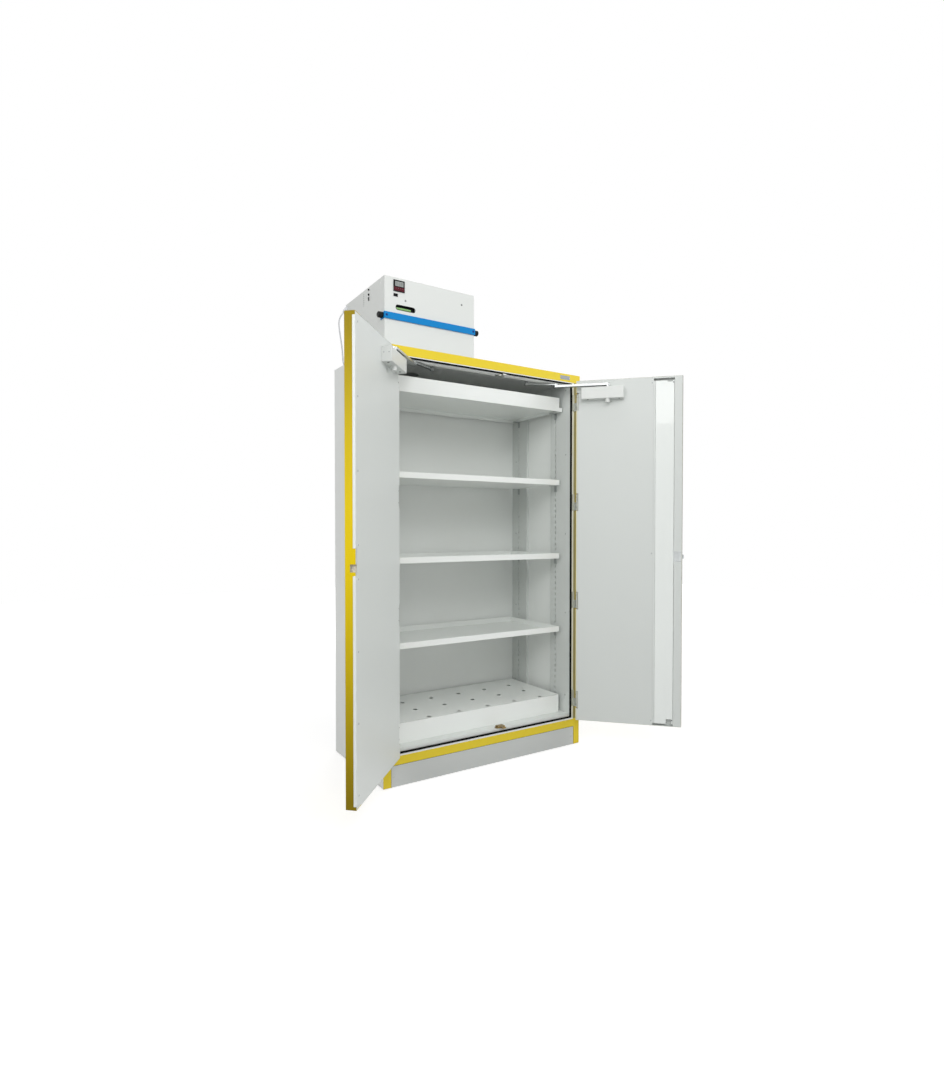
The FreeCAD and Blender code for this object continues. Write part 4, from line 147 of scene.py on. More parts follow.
class Axis(Enum):
    """Direction in which a turned form runs."""

    X = Matrix.Rotation(math.pi / 2, 4, "Y")
    Y = Matrix.Rotation(-math.pi / 2, 4, "X")
    Z = Matrix.Identity(4)


# Shader effects


@dataclass
class Bench:
    """A node tree at work, with short ways to add and join nodes.

    Args:
        tree: the shader or geometry tree that takes the nodes.
    """

    tree: Tree

    @property
    def place(self) -> Socket:
        """Object coordinates, in metres."""
        return self.add("ShaderNodeTexCoord").outputs["Object"]

    def add(self, kind: str, inputs: dict[str | int, object] | None = None, **settings: object) -> Node:
        """Adds a node.

        Args:
            kind: the node's type name.
            inputs: sockets by name or number, each a value or a socket to join.
            settings: the node's own options.

        Returns:
            The new node.
        """
        node = self.tree.nodes.new(kind)
        for name, value in settings.items():
            setattr(node, name, value)
        for key, value in (inputs or {}).items():
            self.feed(node.inputs[key], value)
        return node

    def feed(self, socket: Socket, value: object) -> None:
        """Joins a socket to another one, or sets its value.

        Args:
            socket: the input to feed.
            value: the socket to join to it, or its plain value.
        """
        if isinstance(value, Socket):
            self.tree.links.new(value, socket)
        else:
            socket.default_value = value

    def group(self, tree: Tree, values: dict[str, object]) -> Node:
        """Places an effect with its values.

        Args:
            tree: the effect's node group.
            values: its inputs, each a value or a socket to join.

        Returns:
            The group node.
        """
        node = self.add("ShaderNodeGroup", node_tree=tree)
        for key, value in values.items():
            self.feed(node.inputs[key], value)
        return node

    def math(self, operation: str, first: object, second: object = 0.0, clamp: bool = False) -> Socket:
        """Adds a Math node.

        Args:
            operation: what it works out.
            first: its first value or socket.
            second: its second value or socket.
            clamp: whether the value is held between none and one.

        Returns:
            The node's value.
        """
        node = self.add("ShaderNodeMath", {0: first, 1: second}, operation=operation, use_clamp=clamp)
        return node.outputs[0]

    def dot(self, first: object, second: object) -> Socket:
        """Adds the dot product of two vectors and returns its value."""
        node = self.add("ShaderNodeVectorMath", {0: first, 1: second}, operation="DOT_PRODUCT")
        return node.outputs["Value"]

    def blend(self, amount: object, first: object, second: object) -> Socket:
        """Adds a colour mix.

        Args:
            amount: share of the second colour.
            first: the first colour or its socket.
            second: the second colour or its socket.

        Returns:
            The mixed colour.
        """
        node = self.add("ShaderNodeMix", data_type="RGBA")
        for index, value in zip(MIX_INPUTS, (amount, first, second)):
            self.feed(node.inputs[index], value)
        return node.outputs[MIX_COLOUR]

    def noise(self, scale: object, detail: float = 2.0, stretch: Point = (1, 1, 1)) -> Socket:
        """Adds noise on object coordinates.

        Args:
            scale: cells to the metre.
            detail: octaves.
            stretch: scale along each axis, for a drawn pattern.

        Returns:
            The noise's factor.
        """
        place = self.place
        if stretch != (1, 1, 1):
            place = self.add("ShaderNodeMapping", {"Vector": place, "Scale": stretch}).outputs[0]
        inputs = {"Vector": place, "Scale": scale, "Detail": detail}
        return self.add("ShaderNodeTexNoise", inputs).outputs[0]

    def ramp(self, value: object, low: float, high: float, start: float = 0.0, end: float = 1.0) -> Socket:
        """Maps a value from one range to another.

        Args:
            value: the value or its socket.
            low: where the first range starts.
            high: where it ends.
            start: what the low end becomes.
            end: what the high end becomes.

        Returns:
            The mapped value, held inside the second range.
        """
        node = self.add("ShaderNodeMapRange", {0: value, 1: low, 2: high, 3: start, 4: end})
        return node.outputs[0]


SOCKETS = {"Colour": "NodeSocketColor", "Vector": "NodeSocketVector", "Float": "NodeSocketFloat"}


def effect(
    name: str,
    takes: dict[str, tuple[str, object]],
    gives: dict[str, str],
    wire: Callable[[Bench, Node, Node], None],
) -> Tree:
    """Makes a shader node group once and returns it again after that.

    Args:
        name: the group's name.
        takes: each input's kind and its value by default.
        gives: each output's kind.
        wire: draws the nodes between the group's input and output nodes.

    Returns:
        The node group.
    """
    if name in bpy.data.node_groups:
        return bpy.data.node_groups[name]
    group = bpy.data.node_groups.new(name, "ShaderNodeTree")
    for socket, (kind, value) in takes.items():
        item = group.interface.new_socket(socket, in_out="INPUT", socket_type=SOCKETS[kind])
        item.default_value = value
    for socket, kind in gives.items():
        group.interface.new_socket(socket, in_out="OUTPUT", socket_type=SOCKETS[kind])
    bench = Bench(group)
    wire(bench, bench.add("NodeGroupInput"), bench.add("NodeGroupOutput"))
    return group


def uneven_gloss(bench: Bench, given: Node, made: Node, pattern: Socket, spread: object) -> None:
    """Puts out a group's roughness, spread about its mean by a pattern.

    Args:
        bench: the group's tree.
        given: its input node.
        made: its output node.
        pattern: a pattern from none to one.
        spread: how far the roughness spreads, as a value or a socket.
    """
    stray = bench.math("MULTIPLY", bench.math("SUBTRACT", pattern, 0.5), spread)
    gloss = bench.math("ADD", given.outputs["Roughness"], stray, clamp=True)
    bench.feed(made.inputs["Roughness"], gloss)


def paint_film() -> Tree:
    """Baked powder paint: fine orange peel, faint clouds of shade and uneven gloss.

    Returns:
        The effect's node group.
    """

    def wire(bench: Bench, given: Node, made: Node) -> None:
        """Draws the film's nodes.

        Args:
            bench: the group's tree.
            given: its input node.
            made: its output node.
        """
        peel = bench.noise(given.outputs["Peel scale"], 3.0)
        cloud = bench.ramp(bench.noise(1.1, 1.0), 0.3, 0.7, 0.0, 0.5)
        speck = bench.ramp(bench.noise(420.0, 1.0), 0.6, 0.75, 0.0, 0.5)
        shaded = bench.blend(cloud, given.outputs["Colour"], given.outputs["Shade"])
        bench.feed(made.inputs["Colour"], bench.blend(speck, shaded, given.outputs["Shade"]))
        uneven_gloss(bench, given, made, bench.noise(5.0, 3.0), given.outputs["Spread"])
        bench.feed(made.inputs["Height"], peel)

    takes = {
        "Colour": ("Colour", (0.8, 0.8, 0.8, 1)),
        "Shade": ("Colour", (0.7, 0.7, 0.7, 1)),
        "Peel scale": ("Float", 700.0),
        "Roughness": ("Float", 0.4),
        "Spread": ("Float", 0.2),
    }
    return effect("paint_film", takes, {"Colour": "Colour", "Roughness": "Float", "Height": "Float"}, wire)


def edge_rub() -> Tree:
    """Colour worn through along folded edges, in broken patches.

    Returns:
        The effect's node group.
    """

    def wire(bench: Bench, given: Node, made: Node) -> None:
        """Draws the rub's nodes: an edge is where the rounded normal leaves the plain one.

        Args:
            bench: the group's tree.
            given: its input node.
            made: its output node.
        """
        rounded = bench.add("ShaderNodeBevel", {"Radius": given.outputs["Reach"]}, samples=4).outputs[0]
        plain = bench.add("ShaderNodeNewGeometry").outputs["Normal"]
        edge = bench.ramp(bench.dot(rounded, plain), 0.99, 0.92)
        patch = bench.ramp(bench.noise(38.0, 4.0), 0.48, 0.62)
        mask = bench.math("MULTIPLY", edge, patch)
        amount = bench.math("MULTIPLY", mask, given.outputs["Amount"], clamp=True)
        rubbed = bench.blend(amount, given.outputs["Colour"], given.outputs["Rubbed"])
        bench.feed(made.inputs["Colour"], rubbed)
        bench.feed(made.inputs["Mask"], amount)

    takes = {
        "Colour": ("Colour", (0.8, 0.8, 0.8, 1)),
        "Rubbed": ("Colour", (0.5, 0.5, 0.5, 1)),
        "Amount": ("Float", 0.3),
        "Reach": ("Float", 0.0015),
    }
    return effect("edge_rub", takes, {"Colour": "Colour", "Mask": "Float"}, wire)


def settled_dust() -> Tree:
    """A thin film of dust on what faces up.

    Returns:
        The effect's node group.
    """

    def wire(bench: Bench, given: Node, made: Node) -> None:
        """Draws the dust's nodes.

        Args:
            bench: the group's tree.
            given: its input node.
            made: its output node.
        """
        normal = bench.add("ShaderNodeNewGeometry").outputs["Normal"]
        up = bench.ramp(bench.add("ShaderNodeSeparateXYZ", {0: normal}).outputs[2], 0.6, 1.0)
        patch = bench.ramp(bench.noise(9.0, 5.0), 0.3, 0.75)
        film = bench.math("MULTIPLY", up, patch)
        mask = bench.math("MULTIPLY", film, given.outputs["Amount"], clamp=True)
        dusty = bench.blend(mask, given.outputs["Colour"], given.outputs["Dust"])
        bench.feed(made.inputs["Colour"], dusty)
        bench.feed(made.inputs["Mask"], mask)

    takes = {
        "Colour": ("Colour", (0.8, 0.8, 0.8, 1)),
        "Dust": ("Colour", linear("b9b6ad")),
        "Amount": ("Float", 0.2),
    }
    return effect("settled_dust", takes, {"Colour": "Colour", "Mask": "Float"}, wire)


def drawn_grain() -> Tree:
    """Fine lines of rolled, brushed or drawn metal, with faint spangle.

    Returns:
        The effect's node group.
    """

    def wire(bench: Bench, given: Node, made: Node) -> None:
        """Draws the grain's nodes.

        Args:
            bench: the group's tree.
            given: its input node.
            made: its output node.
        """
        place = bench.place
        stretch = {"Vector": place, "Scale": given.outputs["Stretch"]}
        drawn = bench.add("ShaderNodeMapping", stretch).outputs[0]
        lines = bench.add("ShaderNodeTexNoise", {"Vector": drawn, "Scale": 300.0, "Detail": 4.0}).outputs[0]
        cells = bench.add("ShaderNodeTexVoronoi", {"Vector": place, "Scale": 160.0}).outputs["Distance"]
        spangle = bench.math("MULTIPLY", cells, 0.25)
        shade = bench.math("ADD", bench.math("MULTIPLY", lines, 0.75), spangle)
        bench.feed(made.inputs["Colour"], bench.blend(shade, given.outputs["Dark"], given.outputs["Colour"]))
        uneven_gloss(bench, given, made, lines, given.outputs["Spread"])
        bench.feed(made.inputs["Height"], lines)

    takes = {
        "Colour": ("Colour", (0.6, 0.6, 0.6, 1)),
        "Dark": ("Colour", (0.4, 0.4, 0.4, 1)),
        "Stretch": ("Vector", (1.0, 1.0, 0.06)),
        "Roughness": ("Float", 0.35),
        "Spread": ("Float", 0.3),
    }
    return effect("drawn_grain", takes, {"Colour": "Colour", "Roughness": "Float", "Height": "Float"}, wire)


def mould_grain() -> Tree:
    """The fine pebbled face that a spark-cut mould leaves on plastic or rubber.

    Returns:
        The effect's node group.
    """

    def wire(bench: Bench, given: Node, made: Node) -> None:
        """Draws the pebbles' nodes.

        Args:
            bench: the group's tree.
            given: its input node.
            made: its output node.
        """
        grain = {"Vector": bench.place, "Scale": given.outputs["Grain scale"]}
        cells = bench.add("ShaderNodeTexVoronoi", grain).outputs["Distance"]
        fine = bench.math("MULTIPLY", bench.noise(2100.0, 2.0), 0.4)
        bench.feed(made.inputs["Height"], bench.math("ADD", cells, fine))
        clouds = bench.blend(bench.noise(17.0, 3.0), given.outputs["Colour"], given.outputs["Shade"])
        bench.feed(made.inputs["Colour"], clouds)
        uneven_gloss(bench, given, made, bench.noise(30.0, 3.0), 0.25)

    takes = {
        "Colour": ("Colour", (0.1, 0.1, 0.1, 1)),
        "Shade": ("Colour", (0.07, 0.07, 0.07, 1)),
        "Grain scale": ("Float", 900.0),
        "Roughness": ("Float", 0.5),
    }
    return effect("mould_grain", takes, {"Colour": "Colour", "Roughness": "Float", "Height": "Float"}, wire)


# Finishes


@dataclass(frozen=True)
class Tone:
    """A second colour of a finish, on faces that look one way and lie within some spans. It serves for real
    second colours and for painted light and shade.

    Args:
        colour: the tone as seen.
        shade: the second colour that mottles it.
        facing: the way the faces look as the piece rests.
        spans: ways to measure along, each with its start and end in metres.
        painted_light_height: height at which the tone is lightest, as painted light, shading darker above and
            below; none for an even mottle.
    """

    colour: str
    shade: str
    facing: Point
    spans: tuple[tuple[Point, float, float], ...] = ()
    painted_light_height: float = 0.0

    def mask(self, bench: Bench) -> Socket:
        """Works out where the tone lies.

        Args:
            bench: the material's tree.

        Returns:
            One where it lies, none elsewhere.
        """
        place = bench.add("ShaderNodeTexCoord").outputs
        mask = bench.ramp(bench.dot(place["Normal"], self.facing), 0.55, 0.68)
        for way, start, end in self.spans:
            reach = bench.dot(place["Object"], way)
            after = bench.math("GREATER_THAN", reach, start)
            before = bench.math("LESS_THAN", reach, end)
            mask = bench.math("MULTIPLY", mask, bench.math("MULTIPLY", after, before))
        return mask

    def lay(self, bench: Bench, colour: Socket) -> Socket:
        """Lays the tone over a colour.

        Args:
            bench: the material's tree.
            colour: what lies under it.

        Returns:
            Both together.
        """
        amount = bench.ramp(bench.noise(2.0, 2.0), 0.35, 0.65)
        # Painted light: the tone is lightest at the given height and shades darker above and below.
        if self.painted_light_height:
            height = bench.add("ShaderNodeSeparateXYZ", {0: bench.place}).outputs[2]
            off = bench.math("ABSOLUTE", bench.math("SUBTRACT", height, self.painted_light_height))
            stray = bench.ramp(amount, 0.0, 1.0, -0.04, 0.04)
            amount = bench.math("ADD", bench.ramp(off, 0.1, 0.95), stray, clamp=True)
        tone = bench.blend(amount, linear(self.colour), linear(self.shade))
        return bench.blend(self.mask(bench), colour, tone)


@dataclass(frozen=True)
class Finish:
    """What every finish has: its name, its slot in the record and its main colours.

    Args:
        name: the material's name.
        slot: the record's material slot; not used.
        colour: main colour as seen.
        shade: the second colour that mottles it.
        roughness: mean roughness.
        bump: depth of the fine surface pattern, in metres.
        tones: other tones of it and where they lie.
    """

    name: str
    slot: str
    colour: str
    shade: str
    roughness: float
    bump: float
    tones: tuple[Tone, ...] = ()

    def wire(self, bench: Bench, shader: Node) -> None:
        """Feeds the shader; each kind of finish does it its own way.

        Args:
            bench: the material's tree.
            shader: its Principled BSDF.
        """
        raise NotImplementedError

    def material(self) -> bpy.types.Material:
        """Makes the material once and gives it again after that.

        Returns:
            The material.
        """
        if self.name in bpy.data.materials:
            return bpy.data.materials[self.name]
        material = bpy.data.materials.new(self.name)
        material.use_nodes = True
        bench = Bench(material.node_tree)
        self.wire(bench, material.node_tree.nodes["Principled BSDF"])
        return material

    def toned(self, bench: Bench, colour: Socket) -> Socket:
        """Lays the finish's other tones over its colour.

        Args:
            bench: the material's tree.
            colour: the finish's own colour.

        Returns:
            All the tones together.
        """
        for tone in self.tones:
            colour = tone.lay(bench, colour)
        return colour

    def relieve(self, bench: Bench, shader: Node, height: Socket) -> None:
        """Gives the shader the relief of a fine pattern.

        Args:
            bench: the material's tree.
            shader: its Principled BSDF.
            height: the pattern.
        """
        inputs = {"Height": height, "Distance": self.bump, "Strength": 1.0}
        bench.feed(shader.inputs["Normal"], bench.add("ShaderNodeBump", inputs).outputs[0])

    def apply(self, bench: Bench, shader: Node, tree: Tree, values: dict[str, object]) -> Socket:
        """Places an effect and feeds the shader's roughness and relief from it.

        Args:
            bench: the material's tree.
            shader: its Principled BSDF.
            tree: the effect.
            values: the effect's inputs.

        Returns:
            The effect's colour.
        """
        node = bench.group(tree, values)
        bench.feed(shader.inputs["Roughness"], node.outputs["Roughness"])
        self.relieve(bench, shader, node.outputs["Height"])
        return node.outputs["Colour"]


@dataclass(frozen=True)
class Paint(Finish):
    """Powder paint on sheet steel.

    Args:
        rubbed: colour where edges are worn.
        rub: how far they are worn.
        dust: how much dust lies on level faces.
        coat: strength of the clear gloss.
        peel: orange peel cells to the metre.
        mirror: specular level of the film.
        polish: roughness of the clear gloss.
    """

    rubbed: str = "8f8d86"
    rub: float = 0.25
    dust: float = 0.18
    coat: float = 0.15
    peel: float = 620.0
    mirror: float = 0.42
    polish: float = 0.12

    def wire(self, bench: Bench, shader: Node) -> None:
        """Film, then worn edges, then dust.

        Args:
            bench: the material's tree.
            shader: its Principled BSDF.
        """
        film = self.apply(
            bench,
            shader,
            paint_film(),
            {
                "Colour": linear(self.colour),
                "Shade": linear(self.shade),
                "Peel scale": self.peel,
                "Roughness": self.roughness,
                "Spread": 0.12,
            },
        )
        rub = {"Colour": film, "Rubbed": linear(self.rubbed), "Amount": self.rub}
        worn = bench.group(edge_rub(), rub).outputs["Colour"]
        dusty = bench.group(settled_dust(), {"Colour": worn, "Amount": self.dust}).outputs["Colour"]
        bench.feed(shader.inputs["Base Color"], self.toned(bench, dusty))
        shader.inputs["Coat Weight"].default_value = self.coat
        shader.inputs["Coat Roughness"].default_value = self.polish
        shader.inputs["Specular IOR Level"].default_value = self.mirror


@dataclass(frozen=True)
class Metal(Finish):
    """Bare or plated metal.

    Args:
        stretch: scale of the grain's lines along each axis.
    """

    stretch: Point = (1.0, 1.0, 0.05)

    def wire(self, bench: Bench, shader: Node) -> None:
        """Drawn lines in colour, gloss and relief.

        Args:
            bench: the material's tree.
            shader: its Principled BSDF.
        """
        grain = self.apply(
            bench,
            shader,
            drawn_grain(),
            {
                "Colour": linear(self.colour),
                "Dark": linear(self.shade),
                "Stretch": self.stretch,
                "Roughness": self.roughness,
                "Spread": 0.3,
            },
        )
        bench.feed(shader.inputs["Base Color"], self.toned(bench, grain))
        shader.inputs["Metallic"].default_value = 1.0


@dataclass(frozen=True)
class Moulded(Finish):
    """Moulded plastic or rubber.

    Args:
        grain: pebbles to the metre.
        mirror: specular level of the face.
    """

    grain: float = 900.0
    mirror: float = 0.45

    def wire(self, bench: Bench, shader: Node) -> None:
        """Pebbled face with faint clouds.

        Args:
            bench: the material's tree.
            shader: its Principled BSDF.
        """
        face = self.apply(
            bench,
            shader,
            mould_grain(),
            {
                "Colour": linear(self.colour),
                "Shade": linear(self.shade),
                "Grain scale": self.grain,
                "Roughness": self.roughness,
            },
        )
        bench.feed(shader.inputs["Base Color"], face)
        shader.inputs["Specular IOR Level"].default_value = self.mirror


@dataclass(frozen=True)
class Pressed(Finish):
    """Pressed mineral board or pleated filter fleece: fibres, flecks and a chalky face.

    Args:
        stretch: scale of the fibres along each axis.
    """

    stretch: Point = (1.0, 1.0, 0.2)

    def wire(self, bench: Bench, shader: Node) -> None:
        """Fibres in relief, flecks in colour.

        Args:
            bench: the material's tree.
            shader: its Principled BSDF.
        """
        fibre = bench.noise(240.0, 5.0, self.stretch)
        fleck = bench.ramp(bench.noise(130.0, 2.0), 0.58, 0.66)
        ground = bench.blend(fibre, linear(self.colour), linear(self.shade))
        flecked = bench.blend(bench.math("MULTIPLY", fleck, 0.5), ground, linear(self.shade))
        bench.feed(shader.inputs["Base Color"], flecked)
        chalk = bench.ramp(fibre, 0.2, 0.8, self.roughness - 0.1, self.roughness + 0.05)
        bench.feed(shader.inputs["Roughness"], chalk)
        self.relieve(bench, shader, fibre)


@dataclass(frozen=True)
class Pane(Finish):
    """A glossy display pane or lens, with a faint painted glow where it is given one, though it is no lamp.

    Args:
        glow: strength of its painted glow.
        cells: size of the faint cells behind it, to the metre.
    """

    glow: float = 0.0
    cells: float = 800.0

    def wire(self, bench: Bench, shader: Node) -> None:
        """Cells behind a smooth face.

        Args:
            bench: the material's tree.
            shader: its Principled BSDF.
        """
        cells = bench.add("ShaderNodeTexVoronoi", {"Vector": bench.place, "Scale": self.cells})
        depth = bench.ramp(cells.outputs["Distance"], 0.1, 0.7)
        colour = bench.blend(depth, linear(self.colour), linear(self.shade))
        bench.feed(shader.inputs["Base Color"], colour)
        smear = bench.ramp(bench.noise(60.0), 0.3, 0.7, self.roughness, self.roughness + 0.12)
        bench.feed(shader.inputs["Roughness"], smear)
        # Painted light: the pane glows in its own colour, though it is no lamp.
        if self.glow:
            bench.feed(shader.inputs["Emission Color"], colour)
            shader.inputs["Emission Strength"].default_value = self.glow
        shader.inputs["Coat Weight"].default_value = 0.6
        shader.inputs["Coat Roughness"].default_value = 0.05


def door_tones(side: Side, edge: Tone, lip: tuple[str, str], reach: float) -> tuple[Tone, ...]:
    """Tones of a door's skin: painted shade on its free edge, and the lips that frame its inner panel.

    Args:
        side: the side that the door hangs on.
        edge: the free edge's painted shade, facing any way.
        lip: the lips' colour and shade.
        reach: how far from the pins the lips go, in metres.

    Returns:
        The tones, by the ways their faces look while the door rests open.
    """
    basis = side.door_turn().to_3x3()
    along = tuple(basis @ Vector((side.sign, 0, 0)))
    inward = tuple(basis @ Vector((0, 1, 0)))
    pin = spot(side.across(PIN_INSET), PIN_FRONT, 0).dot(Vector(along))
    panel = ((along, pin - 0.1, pin + reach),)
    lips = [Tone(*lip, way, panel) for way in (inward, UPRIGHT, DOWN)]
    # The free edge takes painted shade; the lips take the inner panel's colour.
    return (replace(edge, facing=along), *lips)


# Painted shade: khaki on the yellow frame posts beside the opening, where the open doors shade them.
POST_SHADE_HEIGHTS = (UPRIGHT, 0.14, 1.914)
POST_SHADE = tuple(
    Tone("9c9870", "949066", FRONT, ((way, 0.49, 0.544), POST_SHADE_HEIGHTS)) for way in (LEFTWARD, RIGHTWARD)
)
YELLOW_RUB = "b3952a"
YELLOW_PAIR = ("yellow_paint", "e6ce3e", "e1c936", 0.36, 0.00004)
YELLOW = Paint("yellow_paint_film", *YELLOW_PAIR, POST_SHADE, YELLOW_RUB, 0.3, coat=0.0, mirror=0.12)
# Painted shade: the left door's free edge in darker gold, lightest near 1.12 m and darker towards top and
# bottom.
LEFT_EDGE_SHADE = Tone("dfc313", "7f6c0d", FRONT, painted_light_height=1.12)
LEFT_TONES = door_tones(Side.LEFT, LEFT_EDGE_SHADE, ("d4d8d4", "d0d4d0"), 0.478)
LEFT_YELLOW = Paint(
    "left_door_yellow_film", *YELLOW_PAIR, LEFT_TONES, YELLOW_RUB, 0.1, coat=0.0, mirror=0.08
)
# Painted shade: the right door's free edge in dark grey, where the edge-on skin lies in shadow.
RIGHT_EDGE_SHADE = Tone("84837c", "7c7b74", FRONT)
RIGHT_TONES = door_tones(Side.RIGHT, RIGHT_EDGE_SHADE, ("d6d9cb", "d2d5c7"), 0.56)
RIGHT_YELLOW = Paint(
    "right_door_yellow_film", *YELLOW_PAIR, RIGHT_TONES, YELLOW_RUB, 0.1, coat=0.0, mirror=0.08
)
HINGE = Metal("dull_hinge_steel", "zinc_steel", "cbcdc6", "b6b8b0", 0.6, 0.00002)
GREY = Paint("grey_paint_film", "grey_paint", "c5c8c6", "c1c5c2", 0.42, 0.00004)
SHELL = Paint("shell_paint_film", "grey_paint", "e6e9e7", "e3e6e4", 0.42, 0.00004)
# Painted light: the header's underside over the opening is painted near-white, standing in for light thrown
# up onto it.
HEADER_LIGHT = Tone("fbfdfb", "f8faf8", DOWN, ((UPRIGHT, 1.9, 1.905),))
WALL = Paint(
    "wall_paint_film", "liner_paint", "ecefec", "e9ecea", 0.42, 0.00004, (HEADER_LIGHT,), dust=0.0, coat=0.05
)
LINER = Paint("liner_paint_film", "liner_paint", "dbdfdc", "d8dcd9", 0.42, 0.00004, dust=0.08, coat=0.05)
# Painted shade: the same liner paint a shade darker, on the right door's inner panel and the shelf uprights.
LINER_SHADED = Paint("liner_paint_shaded_film", "liner_paint", "d0d4d1", "cdd1ce", 0.42, 0.00004, dust=0.0, coat=0.05)
TRAY = Paint("tray_paint_film", "tray_paint", "eff2ef", "ebefec", 0.36, 0.00003, dust=0.06)
COVER = Paint(
    "cover_paint_film",
    "cover_paint",
    "e6eae7",
    "e3e7e4",
    0.3,
    0.00001,
    coat=0.5,
    peel=90.0,
    dust=0.0,
    mirror=0.2,
    polish=0.02,
)
UNIT = Paint("unit_paint_film", "unit_paint", "d9dcd9", "d6d9d6", 0.42, 0.00004)
BLUE = Paint(
    "blue_paint_film", "blue_paint", "0980c4", "087abd", 0.4, 0.00003, rubbed="3f93c8", coat=0.0, mirror=0.2
)
ZINC = Metal("zinc_plate", "zinc_steel", "c4c7c6", "979b9c", 0.34, 0.00002)
HEAD_HEIGHTS = ((UPRIGHT, 1.0, 2.0),)
HEAD_KEEPER = tuple(
    Tone("c9cbc7", "b4b6b0", way, HEAD_HEIGHTS) for way in (FRONT, DOWN, LEFTWARD, RIGHTWARD)
)
BRASS = Metal(
    "keeper_brass_face", "keeper_brass", "a98f58", "6d5c3a", 0.38, 0.00002, HEAD_KEEPER, (0.1, 1.0, 1.0)
)
PLATE = Metal(
    "matt_plate_aluminium", "aluminium", "a4a8ab", "989c9f", 0.75, 0.00001, stretch=(0.06, 1.0, 1.0)
)
ALUMINIUM = Metal("satin_aluminium", "aluminium", "d0d2d3", "aaadaf", 0.3, 0.00001, stretch=(0.06, 1.0, 1.0))
DARK_STEEL = Metal("black_oxide_screw", "zinc_steel", "4a4c50", "2e3035", 0.36, 0.00001)
BLUE_SCREW = Paint(
    "blue_cap_screw", "blue_paint", "0b3382", "0a2c70", 0.4, 0.00001, rub=0.1, dust=0.0, coat=0.0, mirror=0.2
)
PLASTIC = Moulded("black_moulding", "black_plastic", "0c0d0e", "08090a", 0.48, 0.00003, mirror=0.2)
KEY_PLASTIC = Moulded(
    "dark_red_key", "black_plastic", "5a1423", "4a101c", 0.4, 0.00001, grain=1500.0, mirror=0.2
)
LEAD = Moulded("light_lead_sheath", "lead_sheath", "cfd1d4", "c3c5c9", 0.5, 0.00002, grain=1300.0)
SEAL = Moulded("seal_rubber_face", "seal_rubber", "0b0c0b", "070807", 0.8, 0.00004, grain=700.0, mirror=0.1)
BOARD = Pressed("fire_board_face", "fire_board", "d6d0c2", "bdb6a6", 0.9, 0.0002)
FLEECE = Pressed("filter_fleece", "filter_media", "d9dad2", "b8bab1", 0.95, 0.0003, stretch=(1.0, 0.15, 1.0))
# Painted light: the display with its key marks, and the green level indicator, glow faintly though they are
# no lamps.
GLOWING_DISPLAY = Pane("display_pane_painted_glow", "black_plastic", "a3a8a5", "868b88", 0.3, 0.0, glow=0.05, cells=1400.0)
GLOWING_GREEN_LENS = Pane("green_indicator_painted_glow", "black_plastic", "86b56c", "6f9d58", 0.2, 0.0, glow=0.12, cells=500.0)
GREY_LENS = Pane("grey_lens", "black_plastic", "8c928f", "767c79", 0.2, 0.0)


# Making and dressing


def settle(target: bpy.types.Object, finish: Finish, soften: float, steps: int = 2) -> None:
    """Rounds a piece's edges, shades it smooth between them and gives it its finish.

    Args:
        target: the piece or CAD node.
        finish: its finish.
        soften: radius of the rounding, in millimetres; none for 0.
        steps: segments of that rounding.
    """
    mesh = target.data
    mesh.polygons.foreach_set("use_smooth", [True] * len(mesh.polygons))
    if soften:
        weld = target.modifiers.new("weld", "WELD")
        weld.merge_threshold = WELD_REACH
        edge = target.modifiers.new("soft_edges", "BEVEL")
        edge.width = soften * MM
        edge.segments = steps
        edge.limit_method = "ANGLE"
        edge.angle_limit = CREASE
        edge.miter_outer = "MITER_ARC"
        shade = target.modifiers.new("even_shading", "WEIGHTED_NORMAL")
        shade.keep_sharp = False
        shade.weight = FACE_WEIGHT
    mesh.materials.clear()
    mesh.materials.append(finish.material())


def dress(finish: Finish, soften: float, *names: str) -> None:
    """Gives CAD nodes a finish and rounded edges.

    Args:
        finish: the nodes' finish.
        soften: radius of the rounding, in millimetres.
        names: the nodes.
    """
    for name in names:
        settle(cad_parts[name], finish, soften)
        LOG.info("dressed %s with %s", name, finish.name)


@dataclass
class Seat:
    """Where one repeated fitting sits.

    Args:
        place: its middle, in the scene's metres.
        facing: the way its face looks.
        along: the way its long side runs.
    """

    place: Vector
    facing: Vector
    along: Vector

    def turned(self, turn: Matrix) -> "Seat":
        """Carries the seat along by a placement.

        Args:
            turn: the placement.

        Returns:
            The seat where it ends up.
        """
        basis = turn.to_3x3()
        return Seat(turn @ self.place, basis @ self.facing, basis @ self.along)


def seat(across: float, back: float, up: float, facing: Point = FRONT, along: Point = UPRIGHT) -> Seat:
    """Makes a seat from a place in the cabinet's gauge.

    Args:
        across: distance from the cabinet's left side.
        back: distance behind the face of the front frame.
        up: height over the floor.
        facing: the way its face looks.
        along: the way its long side runs.

    Returns:
        The seat.
    """
    return Seat(spot(across, back, up), Vector(facing), Vector(along))


